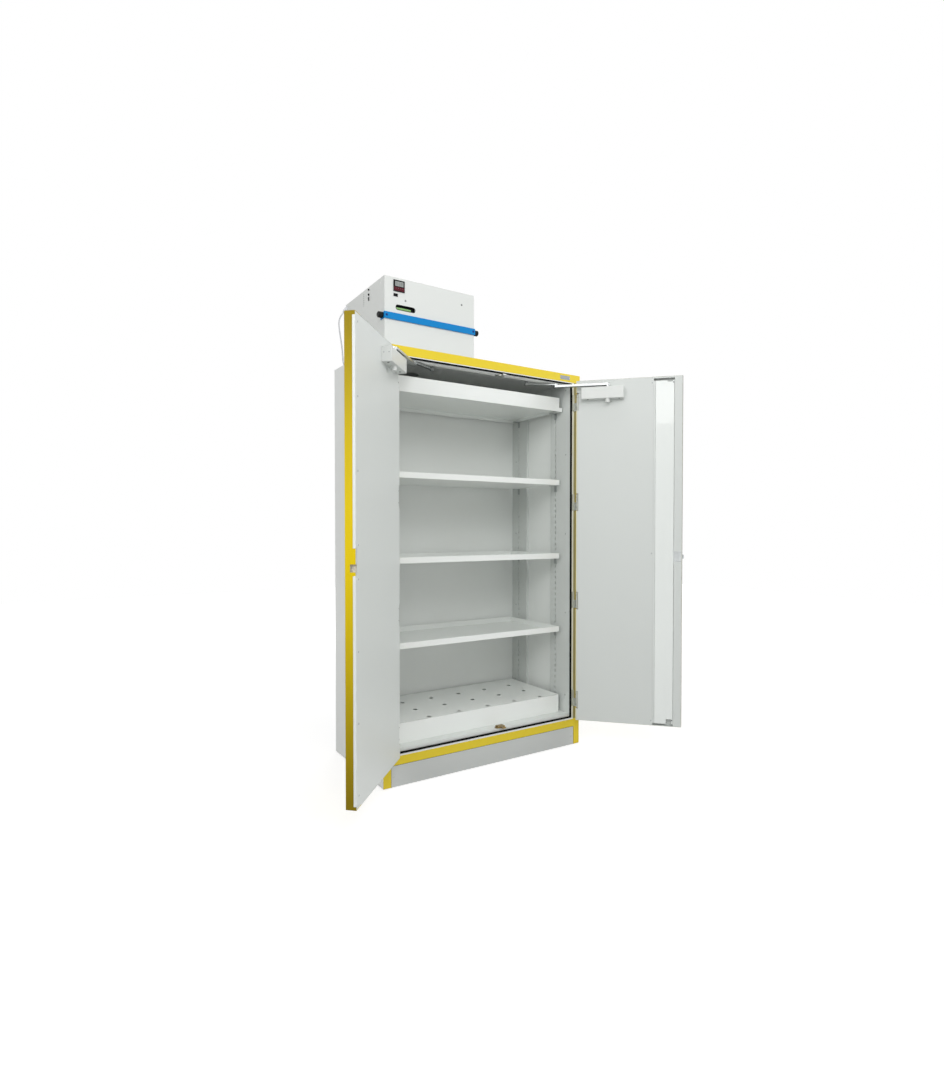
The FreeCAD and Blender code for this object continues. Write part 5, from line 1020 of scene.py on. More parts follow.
class Work:
    """Mesh of one piece, gathered in the cabinet's gauge.

    Args:
        name: the piece's name.
        turn: placement from where it is made to where it goes.
    """

    def __init__(self, name: str, turn: Matrix | None = None) -> None:
        """Starts an empty mesh."""
        self.name = name
        self.turn = turn or Matrix.Identity(4)
        self.mesh = bmesh.new()

    def block(self, across: Span, back: Span, up: Span) -> "Work":
        """Adds a block between two places on each axis.

        Args:
            across: its sides, from the cabinet's left.
            back: its faces, behind the front frame's face.
            up: its foot and head.

        Returns:
            This piece, for the next form.
        """
        low = spot(min(across), min(back), min(up))
        high = spot(max(across), max(back), max(up))
        placing = Matrix.Translation((low + high) / 2) @ Matrix.Diagonal((*(high - low), 1.0))
        bmesh.ops.create_cube(self.mesh, size=1.0, matrix=placing)
        return self

    def turned(self, foot: Point, profile: Sequence[Span], axis: Axis = Axis.Z, sides: int = 32) -> "Work":
        """Adds a turned form.

        Args:
            foot: gauge place where the profile starts.
            profile: (radius, distance along the axis) from one end to the other.
            axis: the direction it runs in.
            sides: facets round it.

        Returns:
            This piece, for the next form.
        """
        return self.spun(spot(*foot), axis.value, profile, sides)

    def spun(self, foot: Vector, heading: Matrix, profile: Sequence[Span], sides: int = 32) -> "Work":
        """Adds a turned form at a place and heading in the scene.

        Args:
            foot: where the profile starts.
            heading: the turn from upright to the way it runs.
            profile: (radius, distance along the axis) from one end to the other.
            sides: facets round it.

        Returns:
            This piece, for the next form.
        """
        placing = Matrix.Translation(foot) @ heading
        rings = []
        for radius, along in profile:
            ring = []
            for index in range(sides):
                angle = math.tau * index / sides
                local = Vector((radius * math.cos(angle), radius * math.sin(angle), along)) * MM
                ring.append(self.mesh.verts.new(placing @ local))
            rings.append(ring)
        for here, there in zip(rings, rings[1:]):
            for index in range(sides):
                after = (index + 1) % sides
                self.mesh.faces.new((here[index], here[after], there[after], there[index]))
        self.mesh.faces.new(tuple(reversed(rings[0])))
        self.mesh.faces.new(tuple(rings[-1]))
        return self

    def deliver(
        self,
        body: str,
        finish: Finish,
        soften: float = 0.4,
        steps: int = 2,
        stands_for: Iterable[str] = (),
    ) -> bpy.types.Object:
        """Finishes the piece and hands it to a body.

        Args:
            body: the body that it rides on.
            finish: its finish.
            soften: radius of its rounded edges, in millimetres.
            steps: segments of that rounding.
            stands_for: CAD nodes that it replaces.

        Returns:
            The finished piece.
        """
        bmesh.ops.transform(self.mesh, matrix=self.turn, verts=self.mesh.verts)
        bmesh.ops.recalc_face_normals(self.mesh, faces=self.mesh.faces)
        data = bpy.data.meshes.new(self.name)
        self.mesh.to_mesh(data)
        self.mesh.free()
        piece = bpy.data.objects.new(self.name, data)
        bpy.context.scene.collection.objects.link(piece)
        settle(piece, finish, soften, steps)
        return hand_over(piece, body, stands_for)


def hand_over(
    piece: bpy.types.Object, body: str, stands_for: Iterable[str] = ()
) -> bpy.types.Object:
    """Hangs a piece on its body and hides the CAD nodes that it replaces.

    Args:
        piece: the piece.
        body: the body that it rides on.
        stands_for: CAD nodes that it replaces.

    Returns:
        The same piece.
    """
    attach(piece, body)
    for node in stands_for:
        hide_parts(node)
    LOG.info("made %s on %s", piece.name, body)
    return piece


# Repeated fittings


class Pattern:
    """A geometry node tree that puts one form on every seat.

    Args:
        name: the tree's name.
        sizes: its named inputs and their values in metres, or plain numbers.
    """

    def __init__(self, name: str, sizes: dict[str, float]) -> None:
        """Starts the tree with its named inputs."""
        self.sizes = sizes
        self.tree = bpy.data.node_groups.new(name, "GeometryNodeTree")
        self.tree.interface.new_socket("Seats", in_out="INPUT", socket_type="NodeSocketGeometry")
        self.tree.interface.new_socket("Geometry", in_out="OUTPUT", socket_type="NodeSocketGeometry")
        for size in sizes:
            self.tree.interface.new_socket(size, in_out="INPUT", socket_type="NodeSocketFloat")
        self.tree.interface.new_socket("Finish", in_out="INPUT", socket_type="NodeSocketMaterial")
        self.tree.interface.new_socket("Seed", in_out="INPUT", socket_type="NodeSocketInt")
        self.bench = Bench(self.tree)
        self.given = self.bench.add("NodeGroupInput")

    def size(self, name: str) -> Socket:
        """The group's input of that name."""
        return self.given.outputs[name]

    def vector(self, x: object, y: object, z: object) -> Socket:
        """Joins three numbers into a vector."""
        return self.bench.add("ShaderNodeCombineXYZ", {0: x, 1: y, 2: z}).outputs[0]

    def stored(self, name: str) -> Socket:
        """The vector of that name that every seat carries."""
        node = self.bench.add("GeometryNodeInputNamedAttribute", {"Name": name}, data_type="FLOAT_VECTOR")
        return node.outputs[0]

    def circle(self, radius: str, points: int) -> Socket:
        """Adds a circle.

        Args:
            radius: the group's input that holds its radius.
            points: its points.

        Returns:
            The circle's curve.
        """
        inputs = {"Resolution": points, "Radius": self.size(radius)}
        return self.bench.add("GeometryNodeCurvePrimitiveCircle", inputs).outputs[0]

    def swept(self, path: Socket, section: Socket) -> Socket:
        """Sweeps a section along a path."""
        inputs = {"Curve": path, "Profile Curve": section}
        return self.bench.add("GeometryNodeCurveToMesh", inputs).outputs[0]

    def close(self, form: Socket, wander: float = 0.0) -> "Pattern":
        """Ends the tree: the form on every seat, realised, with its finish.

        Args:
            form: the form's geometry.
            wander: largest random turn about the facing, in radians.

        Returns:
            This pattern.
        """
        bench = self.bench
        aim = {"Vector": self.stored("facing")}
        face = bench.add("FunctionNodeAlignRotationToVector", aim, axis="Z").outputs[0]
        aim = {"Rotation": face, "Vector": self.stored("along")}
        rotation = bench.add("FunctionNodeAlignRotationToVector", aim, axis="X", pivot_axis="Z").outputs[0]
        if wander:
            chance = bench.add("FunctionNodeRandomValue", data_type="FLOAT")
            floats = [socket for socket in chance.inputs if socket.type == "VALUE"]
            bench.feed(floats[0], -wander)
            bench.feed(floats[1], wander)
            bench.feed(chance.inputs["Seed"], self.size("Seed"))
            angle = next(socket for socket in chance.outputs if socket.type == "VALUE")
            local = bench.add("FunctionNodeAxisAngleToRotation", {"Axis": UPRIGHT, "Angle": angle}).outputs[0]
            turned = bench.add("FunctionNodeRotateRotation", {0: rotation, 1: local}, rotation_space="LOCAL")
            rotation = turned.outputs[0]
        copying = {"Points": self.size("Seats"), "Instance": form, "Rotation": rotation}
        copies = bench.add("GeometryNodeInstanceOnPoints", copying).outputs[0]
        whole = bench.add("GeometryNodeRealizeInstances", {0: copies}).outputs[0]
        coating = {"Geometry": whole, "Material": self.size("Finish")}
        coated = bench.add("GeometryNodeSetMaterial", coating).outputs[0]
        bench.add("NodeGroupOutput", {0: coated})
        return self

    def place(
        self,
        name: str,
        seats: Sequence[Seat],
        body: str,
        finish: Finish,
        seed: int = 1,
        **sizes: float,
    ) -> bpy.types.Object:
        """Runs the tree on a set of seats and hands over the plain mesh.

        Args:
            name: the piece's name.
            seats: where the forms go.
            body: the body that the piece rides on.
            finish: its finish.
            seed: seed of its random turns.
            sizes: inputs that differ from the pattern's own.

        Returns:
            The finished piece.
        """
        cloud = bpy.data.meshes.new(f"{name}_seats")
        cloud.from_pydata([tuple(each.place) for each in seats], [], [])
        for key in ("facing", "along"):
            layer = cloud.attributes.new(key, "FLOAT_VECTOR", "POINT")
            flat = [part for each in seats for part in getattr(each, key)]
            layer.data.foreach_set("vector", flat)
        piece = bpy.data.objects.new(name, cloud)
        bpy.context.scene.collection.objects.link(piece)
        maker = piece.modifiers.new("maker", "NODES")
        maker.node_group = self.tree
        values: dict[str, object] = {**self.sizes, "Finish": finish.material(), "Seed": seed}
        values.update({key.replace("_", " "): value for key, value in sizes.items()})
        for item in self.tree.interface.items_tree:
            if item.in_out == "INPUT" and item.name in values:
                maker[item.identifier] = values[item.name]
        bpy.context.view_layer.update()
        ready = piece.evaluated_get(bpy.context.evaluated_depsgraph_get())
        made = bpy.data.meshes.new_from_object(ready)
        made.name = name
        piece.modifiers.remove(maker)
        piece.data = made
        if not made.materials:
            made.materials.append(finish.material())
        return hand_over(piece, body)


def screw_pattern() -> Pattern:
    """Domed screw head with a cross recess, each at its own chance angle.

    Returns:
        The pattern.
    """
    made = Pattern(
        "screw_head",
        {
            "Head radius": 0.0042,
            "Head height": 0.0022,
            "Recess length": 0.0046,
            "Recess width": 0.0009,
            "Recess depth": 0.0014,
        },
    )
    bench = made.bench
    ball = bench.add("GeometryNodeMeshUVSphere", {"Segments": 18, "Rings": 10, "Radius": 1.0}).outputs[0]
    swell = made.vector(made.size("Head radius"), made.size("Head radius"), made.size("Head height"))
    dome = bench.add("GeometryNodeTransform", {"Geometry": ball, "Scale": swell}).outputs[0]
    arms = bench.add("GeometryNodeJoinGeometry")
    tall = bench.math("MULTIPLY", made.size("Recess depth"), 2.0)
    for long, wide in (("Recess length", "Recess width"), ("Recess width", "Recess length")):
        size = made.vector(made.size(long), made.size(wide), tall)
        arm = bench.add("GeometryNodeMeshCube", {"Size": size}).outputs[0]
        bench.tree.links.new(arm, arms.inputs[0])
    lift = made.vector(0.0, 0.0, made.size("Head height"))
    raising = {"Geometry": arms.outputs[0], "Translation": lift}
    cutter = bench.add("GeometryNodeTransform", raising).outputs[0]
    carve = bench.add("GeometryNodeMeshBoolean", operation="DIFFERENCE")
    bench.feed(carve.inputs[0], dome)
    bench.tree.links.new(cutter, carve.inputs[1])
    shading = {"Geometry": carve.outputs[0], "Shade Smooth": False}
    return made.close(bench.add("GeometryNodeSetShadeSmooth", shading).outputs[0], wander=1.5)


def rim_pattern() -> Pattern:
    """Raised rolled rim round a long hole.

    Returns:
        The pattern.
    """
    made = Pattern("hole_rim", {"Hole length": 0.026, "Hole width": 0.009, "Rim radius": 0.0006})
    bench = made.bench
    outline = bench.add(
        "GeometryNodeCurvePrimitiveQuadrilateral",
        {"Width": made.size("Hole length"), "Height": made.size("Hole width")},
    ).outputs[0]
    corner = bench.math("MULTIPLY", made.size("Hole width"), 0.49)
    rounding = {"Curve": outline, "Count": 5, "Radius": corner}
    fillet = bench.add("GeometryNodeFilletCurve", rounding, mode="POLY").outputs[0]
    return made.close(made.swept(fillet, made.circle("Rim radius", 6)))


def cap_pattern() -> Pattern:
    """Small key or slot: a block that steps in once towards its top.

    Returns:
        The pattern.
    """
    made = Pattern("key_cap", {"Cap length": 0.006, "Cap width": 0.004, "Cap height": 0.0012})
    bench = made.bench
    length, width, height = (made.size(name) for name in ("Cap length", "Cap width", "Cap height"))
    levels = ((1.0, 0.0, 0.6), (0.86, 0.6, 0.4))
    stack = bench.add("GeometryNodeJoinGeometry")
    for shrink, start, share in levels:
        shares = ((length, shrink), (width, shrink), (height, share))
        sides = [bench.math("MULTIPLY", size, part) for size, part in shares]
        slab = bench.add("GeometryNodeMeshCube", {"Size": made.vector(*sides)}).outputs[0]
        lift = made.vector(0.0, 0.0, bench.math("MULTIPLY", height, start + share / 2))
        moved = bench.add("GeometryNodeTransform", {"Geometry": slab, "Translation": lift}).outputs[0]
        bench.tree.links.new(moved, stack.inputs[0])
    return made.close(stack.outputs[0])


def ring_pattern() -> Pattern:
    """Round bead: a rib on a sleeve, a lens ring or the rim of a drain.

    Returns:
        The pattern.
    """
    made = Pattern("round_bead", {"Bead radius": 0.006, "Bead thickness": 0.0008})
    return made.close(made.swept(made.circle("Bead radius", 28), made.circle("Bead thickness", 8)))


@dataclass
class Kit:
    """The patterns that the whole cabinet shares.

    Args:
        screws: screw heads with a cross recess.
        rims: rims of long holes.
        caps: keys, slots and bars of a digit.
        beads: round beads.
    """

    screws: Pattern
    rims: Pattern
    caps: Pattern
    beads: Pattern

    @classmethod
    def make(cls) -> "Kit":
        """Builds every pattern once."""
        return cls(screw_pattern(), rim_pattern(), cap_pattern(), ring_pattern())


@dataclass
class Assembly:
    """A sub-assembly of the cabinet.

    Args:
        kit: the shared patterns that its fittings are made from.
    """

    kit: Kit


# Studio and lead


class Outline(Enum):
    """Outline of a soft box."""

    DISK = "DISK"
    SQUARE = "SQUARE"


@dataclass
class Lamp:
    """One soft box.

    Args:
        name: its name.
        place: where it hangs, in metres.
        look: where it looks.
        size: its width, in metres.
        power: its power, in watts.
        outline: its outline.
    """

    name: str
    place: Point
    look: Point
    size: float
    power: float
    outline: Outline = Outline.DISK

    def hang(self) -> None:
        """Adds the soft box."""
        light = bpy.data.lights.new(self.name, "AREA")
        light.shape = self.outline.value
        light.size = self.size
        light.energy = self.power
        lamp = bpy.data.objects.new(self.name, light)
        lamp.location = self.place
        lamp.rotation_euler = (Vector(self.look) - Vector(self.place)).to_track_quat("-Z", "Y").to_euler()
        bpy.context.scene.collection.objects.link(lamp)


@dataclass
class Studio:
    """Camera, floor, world and soft boxes.

    Args:
        eye: the camera's place, in metres.
        pitch: how far it looks up, in degrees.
        heading: where it looks, in degrees from the cabinet's back.
        lens: its focal length, in millimetres.
        sensor: its sensor's width, in millimetres.
        aim: where most soft boxes look, in metres.
        floor_half: half the floor's side, in metres.
        paper: the floor's two shades of grey.
        ambient: strength of the light from all round.
        glow: how white the floor looks, near the cabinet and far from it.
        glow_reach: where that whiteness starts and ends, in metres.
    """

    eye: Point = (-1.7349, -2.8236, 1.1481)
    pitch: float = -1.032
    heading: float = -32.69
    lens: float = 21.147
    sensor: float = 36.0
    aim: Point = (0.0, -0.2, 1.15)
    floor_half: float = 9.0
    paper: Span = (0.5, 0.53)
    ambient: float = 0.42
    glow: Span = (0.62, 1.0)
    glow_reach: Span = (1.6, 4.2)

    def camera(self) -> None:
        """Stands the camera where the photograph was taken."""
        data = bpy.data.cameras.new("camera")
        data.lens = self.lens
        data.sensor_width = self.sensor
        data.clip_start = 0.05
        data.clip_end = 60.0
        camera = bpy.data.objects.new("camera", data)
        camera.location = self.eye
        camera.rotation_euler = (math.radians(90 + self.pitch), 0.0, math.radians(self.heading))
        bpy.context.scene.collection.objects.link(camera)
        bpy.context.scene.camera = camera

    def white_to_viewer(self, bench: Bench) -> Socket:
        """Tells what is looked at from what only lights the cabinet.

        Args:
            bench: the tree of the world or of the floor.

        Returns:
            One for the camera, mirrors and glass, none for other light.
        """
        path = bench.add("ShaderNodeLightPath").outputs
        seen = bench.math("MAXIMUM", path["Is Camera Ray"], path["Is Glossy Ray"])
        return bench.math("MAXIMUM", seen, path["Is Transmission Ray"])

    def world(self) -> None:
        """Even pale light, pure white where it is looked at."""
        world = bpy.data.worlds.new("studio")
        world.use_nodes = True
        bpy.context.scene.world = world
        bench = Bench(world.node_tree)
        sky = world.node_tree.nodes["Background"]
        lift = bench.math("MULTIPLY", self.white_to_viewer(bench), 1.0 - self.ambient)
        bench.feed(sky.inputs["Color"], (1.0, 1.0, 1.0, 1.0))
        bench.feed(sky.inputs["Strength"], bench.math("ADD", lift, self.ambient))

    def floor(self) -> None:
        """Plain pale floor that keeps the cabinet's shadow."""
        half = self.floor_half
        corners = [(-half, -half, 0), (half, -half, 0), (half, half, 0), (-half, half, 0)]
        mesh = bpy.data.meshes.new("floor")
        mesh.from_pydata(corners, [], [(0, 1, 2, 3)])
        floor = bpy.data.objects.new("floor", mesh)
        bpy.context.scene.collection.objects.link(floor)
        mesh.materials.append(self.floor_paper())

    def floor_paper(self) -> bpy.types.Material:
        """Makes the floor's paper, which whitens with the distance from the cabinet.

        Returns:
            The material.
        """
        material = bpy.data.materials.new("floor_paper")
        material.use_nodes = True
        bench = Bench(material.node_tree)
        shader = material.node_tree.nodes["Principled BSDF"]
        shades = [(grey, grey, grey, 1) for grey in self.paper]
        bench.feed(shader.inputs["Base Color"], bench.blend(bench.noise(3.0, 4.0), *shades))
        bench.feed(shader.inputs["Roughness"], 0.9)
        bench.feed(shader.inputs["Emission Color"], (1, 1, 1, 1))
        reach = bench.add("ShaderNodeVectorMath", {0: bench.place}, operation="LENGTH").outputs["Value"]
        lift = bench.ramp(reach, *self.glow_reach, *self.glow)
        glow = bench.math("MULTIPLY", self.white_to_viewer(bench), lift)
        bench.feed(shader.inputs["Emission Strength"], glow)
        return material

    def light(self) -> None:
        """Hangs the soft boxes."""
        for lamp in (
            Lamp("key_box", (-0.8, -3.6, 3.9), self.aim, 2.4, 43.0),
            Lamp("cover_box", (-2.2, -3.9, 3.0), (0.83, -0.64, 1.5), 1.25, 26.0, Outline.SQUARE),
            Lamp("low_box", (-0.4, -3.6, 0.9), self.aim, 1.8, 4.0),
            Lamp("right_box", (3.4, -2.3, 2.7), (-0.25, -0.4, 1.3), 1.8, 40.0),
            Lamp("left_box", (-4.2, -2.4, 2.6), self.aim, 2.4, 62.0),
            Lamp("top_box", (0.2, -0.6, 5.2), self.aim, 3.0, 34.0),
            Lamp("back_box", (2.0, 4.4, 3.0), self.aim, 2.6, 40.0),
        ):
            lamp.hang()

    def build(self) -> None:
        """Sets the whole studio."""
        self.camera()
        self.world()
        self.floor()
        self.light()
        bpy.context.scene.view_settings.view_transform = "Standard"
        LOG.info("studio is set")


@dataclass
class MainsLead(Assembly):
    """The light grey lead from the gland down behind the door and into its put-away coil.

    Args:
        root: the gland's root on the unit's side.
        slope: how far the gland's axis dips, in radians.
        gland: the gland's length.
        straight: how far the lead runs on straight past the gland.
        radius: the lead's radius.
        coil_middle: middle of the coil on the roof.
        coil_radius: radius of its outer turn.
        pitch: distance between its turns and between its layers.
        turns: its turns.
        turns_in: turns after which it climbs to the second layer.
        climb: share of a turn that the climb takes.
        points_a_turn: control points to a turn.
        tail: how far the plug's end lies past the coil.
        length: the lead's length, in metres; not used.
        route: control points from the gland to the coil.
        ribs_along: the gland's ribs, along its axis.
        sleeve: the gland's radius at its root.
        taper: how much it loses to the millimetre.
        rib_thickness: radius of a rib's bead, in metres.
    """

    root: Point = (52.0, 540.0, 2267.0)
    slope: float = math.radians(53)
    gland: float = 31.0
    straight: float = 26.0
    radius: float = 3.5
    coil_middle: Point = (640.0, 500.0, 1958.8)
    coil_radius: float = 46.0
    pitch: float = 7.6
    turns: float = 4.5
    turns_in: float = 2.0
    climb: float = 0.5
    points_a_turn: int = 14
    tail: float = 7.0
    length: float = 1.94
    route: tuple[Point, ...] = (
        (9, 541, 2190),
        (13, 543, 2152),
        (21, 547, 2112),
        (30, 552, 2070),
        (36, 558, 2026),
        (41, 563, 1988),
        (62, 566, 1964),
        (100, 566.5, 1958.8),
        (160, 568, 1958.8),
        (238, 565.5, 1958.8),
        (320, 568, 1958.8),
        (402, 565, 1958.8),
        (470, 566, 1958.8),
        (525, 561, 1958.8),
        (568, 551, 1958.8),
        (602, 546, 1958.8),
        (633, 546, 1958.8),
    )
    ribs_along: tuple[float, ...] = (12.0, 15.5, 19.0, 22.5, 26.0)
    sleeve: float = 7.2
    taper: float = 0.13
    rib_thickness: float = 0.0007

    def along_gland(self, distance: float) -> Vector:
        """Scene place at a distance down the gland's axis from its root."""
        way = Vector((-math.cos(self.slope), 0.0, -math.sin(self.slope)))
        return spot(*self.root) + way * distance * MM

    def coil_point(self, turn: float) -> Vector:
        """Follows the coil inwards, up to its second layer and out again.

        Args:
            turn: how many turns have gone by.

        Returns:
            The scene place after them.
        """
        inward = min(turn, self.turns - turn)
        share = min(max((turn - self.turns_in) / self.climb, 0.0), 1.0)
        rise = self.pitch * share * share * (3 - 2 * share)
        angle = math.pi / 2 - math.tau * turn
        radius = self.coil_radius - self.pitch * inward
        offset = Vector((radius * math.cos(angle), radius * math.sin(angle), rise)) * MM
        return spot(*self.coil_middle) + offset

    def line(self) -> list[Vector]:
        """Lists the lead's control points.

        Returns:
            Scene places from the gland's tip to the plug.
        """
        points = [self.along_gland(self.gland), self.along_gland(self.gland + self.straight)]
        points += [spot(*place) for place in self.route]
        steps = int(self.turns * self.points_a_turn)
        points += [self.coil_point(index / self.points_a_turn) for index in range(steps + 1)]
        points.append(points[-1] + Vector((-self.tail * MM, 0.0, 0.0)))
        return points

    def sheath(self, points: Sequence[Vector]) -> bpy.types.Object:
        """Makes the sheath as one smooth spline.

        Args:
            points: its control points.

        Returns:
            The curve object.
        """
        data = bpy.data.curves.new("mains_lead", "CURVE")
        data.dimensions = "3D"
        data.bevel_depth = self.radius * MM
        data.bevel_resolution = 3
        data.use_fill_caps = True
        data.resolution_u = 6
        spline = data.splines.new("NURBS")
        spline.points.add(len(points) - 1)
        for control, place in zip(spline.points, points):
            control.co = (*place, 1.0)
        spline.order_u = 3
        spline.use_endpoint_u = True
        spline.resolution_u = 6
        data.materials.append(LEAD.material())
        lead = bpy.data.objects.new("mains_lead", data)
        bpy.context.scene.collection.objects.link(lead)
        return lead

    def build(self) -> None:
        """Makes the lead and the gland's ribs, and dresses the gland and the plug."""
        points = self.line()
        lead = self.sheath(points)
        hand_over(lead, "carcass", ("power_cord", "cord_coil"))
        dress(LEAD, 0.4, "cord_gland")
        dress(PLASTIC, 1.2, "power_plug")
        self.ribs()

    def ribs(self) -> None:
        """Puts the flexible ribs on the gland's tapered sleeve."""
        way = (self.along_gland(1.0) - self.along_gland(0.0)).normalized()
        for index, distance in enumerate(self.ribs_along):
            place = Seat(self.along_gland(distance), way, Vector(BACK))
            sizes = {
                "Bead_radius": (self.sleeve - self.taper * distance) * MM,
                "Bead_thickness": self.rib_thickness,
            }
            self.kit.beads.place(f"gland_rib_{index}", [place], "carcass", LEAD, **sizes)


# Cabinet


@dataclass
class Carcass(Assembly):
    """Outer shell, front frame, plinth and feet.

    Args:
        plinth_across: the plinth panel from left to right.
        plinth_up: the plinth panel from foot to head.
        plinth_screws: its screws, across and up.
        plinth_face: its face behind the frame's.
        plate_across: the bare plate on the top bar, from left to right.
        plate_back: that plate from front to back.
        plate_up: that plate from foot to head.
        rivet_inset: its rivets' distance from its ends.
        seam_shadow_back: the dark strip round the plinth, seam and painted shadow line in one, from front to
            back.
        head_seam_shadow: the strip's width at the plinth's head.
        side_seam_shadow: its width at the plinth's sides.
    """

    plinth_across: Span = (37.5, 1102.5)
    plinth_up: Span = (3.0, 98.0)
    plinth_screws: tuple[Span, ...] = ((51.5, 49.0), (1088.5, 49.0))
    plinth_face: float = 1.3
    plate_across: Span = (1005.0, 1070.0)
    plate_back: Span = (-0.5, 0.4)
    plate_up: Span = (1924.0, 1945.0)
    rivet_inset: float = 3.5
    seam_shadow_back: Span = (1.0, 1.45)
    head_seam_shadow: float = 1.4
    side_seam_shadow: float = 1.3

    def build(self) -> None:
        """Adds the plinth's screws, the bare plate and the dark strip round the plinth, and dresses the
        shell.
        """
        screws = [seat(across, self.plinth_face, up) for across, up in self.plinth_screws]
        self.kit.screws.place("plinth_screws", screws, "carcass", ZINC, seed=3)
        self.plate()
        self.joint()
        self.dress()

    def plate(self) -> None:
        """Bare metal plate on the top bar, held by two rivets."""
        plate = Work("rating_plate")
        plate.block(self.plate_across, self.plate_back, self.plate_up)
        plate.deliver("carcass", PLATE, 0.3)
        left, right = self.plate_across
        middle = sum(self.plate_up) / 2
        places = (left + self.rivet_inset, right - self.rivet_inset)
        ends = [seat(across, self.plate_back[0], middle) for across in places]
        sizes = {"Head_radius": 0.0016, "Head_height": 0.0007, "Recess_depth": 0.0001}
        self.kit.screws.place("plate_rivets", ends, "carcass", ALUMINIUM, **sizes)

    def joint(self) -> None:
        """Dark strip round the plinth panel: the seam to the frame round it, and the painted shadow line
        where the frame stands proud of it.
        """
        left, right = self.plinth_across
        foot, head = self.plinth_up
        # Painted shadow: the strip also stands in for the shadow line that the proud frame casts on the
        # plinth.
        seam = Work("plinth_seam_shadow")
        seam.block((left, right), self.seam_shadow_back, (head - self.head_seam_shadow, head))
        seam.block((left, left + self.side_seam_shadow), self.seam_shadow_back, (foot, head))
        seam.block((right - self.side_seam_shadow, right), self.seam_shadow_back, (foot, head))
        seam.deliver("carcass", SEAL, 0.0)

    def dress(self) -> None:
        """Gives the shell its paint."""
        dress(SHELL, 1.0, "side_panels")
        dress(GREY, 1.0, "back_panel", "roof_panel", "base_pan", "plinth_panel")
        dress(YELLOW, 0.8, "front_frame")
        dress(ZINC, 0.5, "levelling_feet")
        dress(BOARD, 0.0, "carcass_insulation")
        dress(SEAL, 1.2, "door_gasket")


@dataclass
class Interior(Assembly):
    """Liner, uprights, clips and the keepers for the lock rods.

    Args:
        upright_face: the uprights' inner face, from the cabinet's side.
        upright_backs: how far back each side's two columns of screws lie.
        screw_rows: heights of the uprights' screws.
        keeper_across: middle of the lower keeper.
        keeper_back: its screws behind the frame's face.
        keeper_top: height of its top.
        keeper_pitch: its screws' distance from its middle.
        mouth: the liner's mouth from left to right.
        fascia_back: the light band under the top bar, from front to back.
        fascia_up: that band from foot to head.
    """

    upright_face: float = 62.0
    upright_backs: Span = (40.0, 480.0)
    screw_rows: tuple[float, ...] = (260.0, 700.0, 1120.0, 1540.0, 1880.0)
    keeper_across: float = 636.0
    keeper_back: float = 19.5
    keeper_top: float = 170.0
    keeper_pitch: float = 17.0
    mouth: Span = (63.0, 1077.0)
    fascia_back: Span = (8.0, 8.9)
    fascia_up: Span = (1897.8, 1903.2)

    def build(self) -> None:
        """Dresses the liner and screws the uprights and the lower keeper on."""
        dress(WALL, 0.8, "liner_walls", "liner_ceiling")
        dress(LINER, 0.8, "liner_floor")
        dress(LINER_SHADED, 0.6, "shelf_uprights")
        dress(ZINC, 0.4, "shelf_clips")
        dress(BRASS, 0.4, "rod_keepers")
        seats = []
        for side in Side:
            across = side.across(self.upright_face)
            for back in self.upright_backs:
                seats += [seat(across, back, up, side.inward) for up in self.screw_rows]
        self.kit.screws.place("upright_screws", seats, "carcass", ZINC, seed=11)
        fascia = Work("header_fascia")
        fascia.block(self.mouth, self.fascia_back, self.fascia_up)
        fascia.deliver("carcass", WALL, 0.2)
        places = (self.keeper_across - self.keeper_pitch, self.keeper_across + self.keeper_pitch)
        feet = [seat(across, self.keeper_back, self.keeper_top, UPRIGHT) for across in places]
        sizes = {"Head_radius": 0.0032, "Head_height": 0.0014}
        self.kit.screws.place("keeper_screws", feet, "carcass", DARK_STEEL, seed=12, **sizes)


@dataclass
class Shelving(Assembly):
    """Shelves, the top tray, the sump and its perforated insert.

    Args:
        drain_columns: drains from left to right.
        drain_rows: how far back each row of drains lies.
        drain_start: where the first column lies.
        drain_pitch: distance between columns.
        insert_top: height of the insert's face.
    """

    drain_columns: int = 6
    drain_rows: tuple[float, ...] = (90.0, 230.0, 370.0)
    drain_start: float = 110.0
    drain_pitch: float = 167.0
    insert_top: float = 259.0

    def build(self) -> None:
        """Dresses the trays and rolls a rim round every drain."""
        dress(TRAY, 1.2, "upper_shelf", "middle_shelf", "lower_shelf", "top_shelf", "top_tray", "sump_tray")
        dress(TRAY, 0.8, "perforated_insert")
        seats = []
        for column in range(self.drain_columns):
            across = self.drain_start + column * self.drain_pitch
            seats += [seat(across, back, self.insert_top, UPRIGHT, RIGHTWARD) for back in self.drain_rows]
        self.kit.beads.place("drain_rims", seats, "insert", TRAY, Bead_radius=0.0114, Bead_thickness=0.0005)


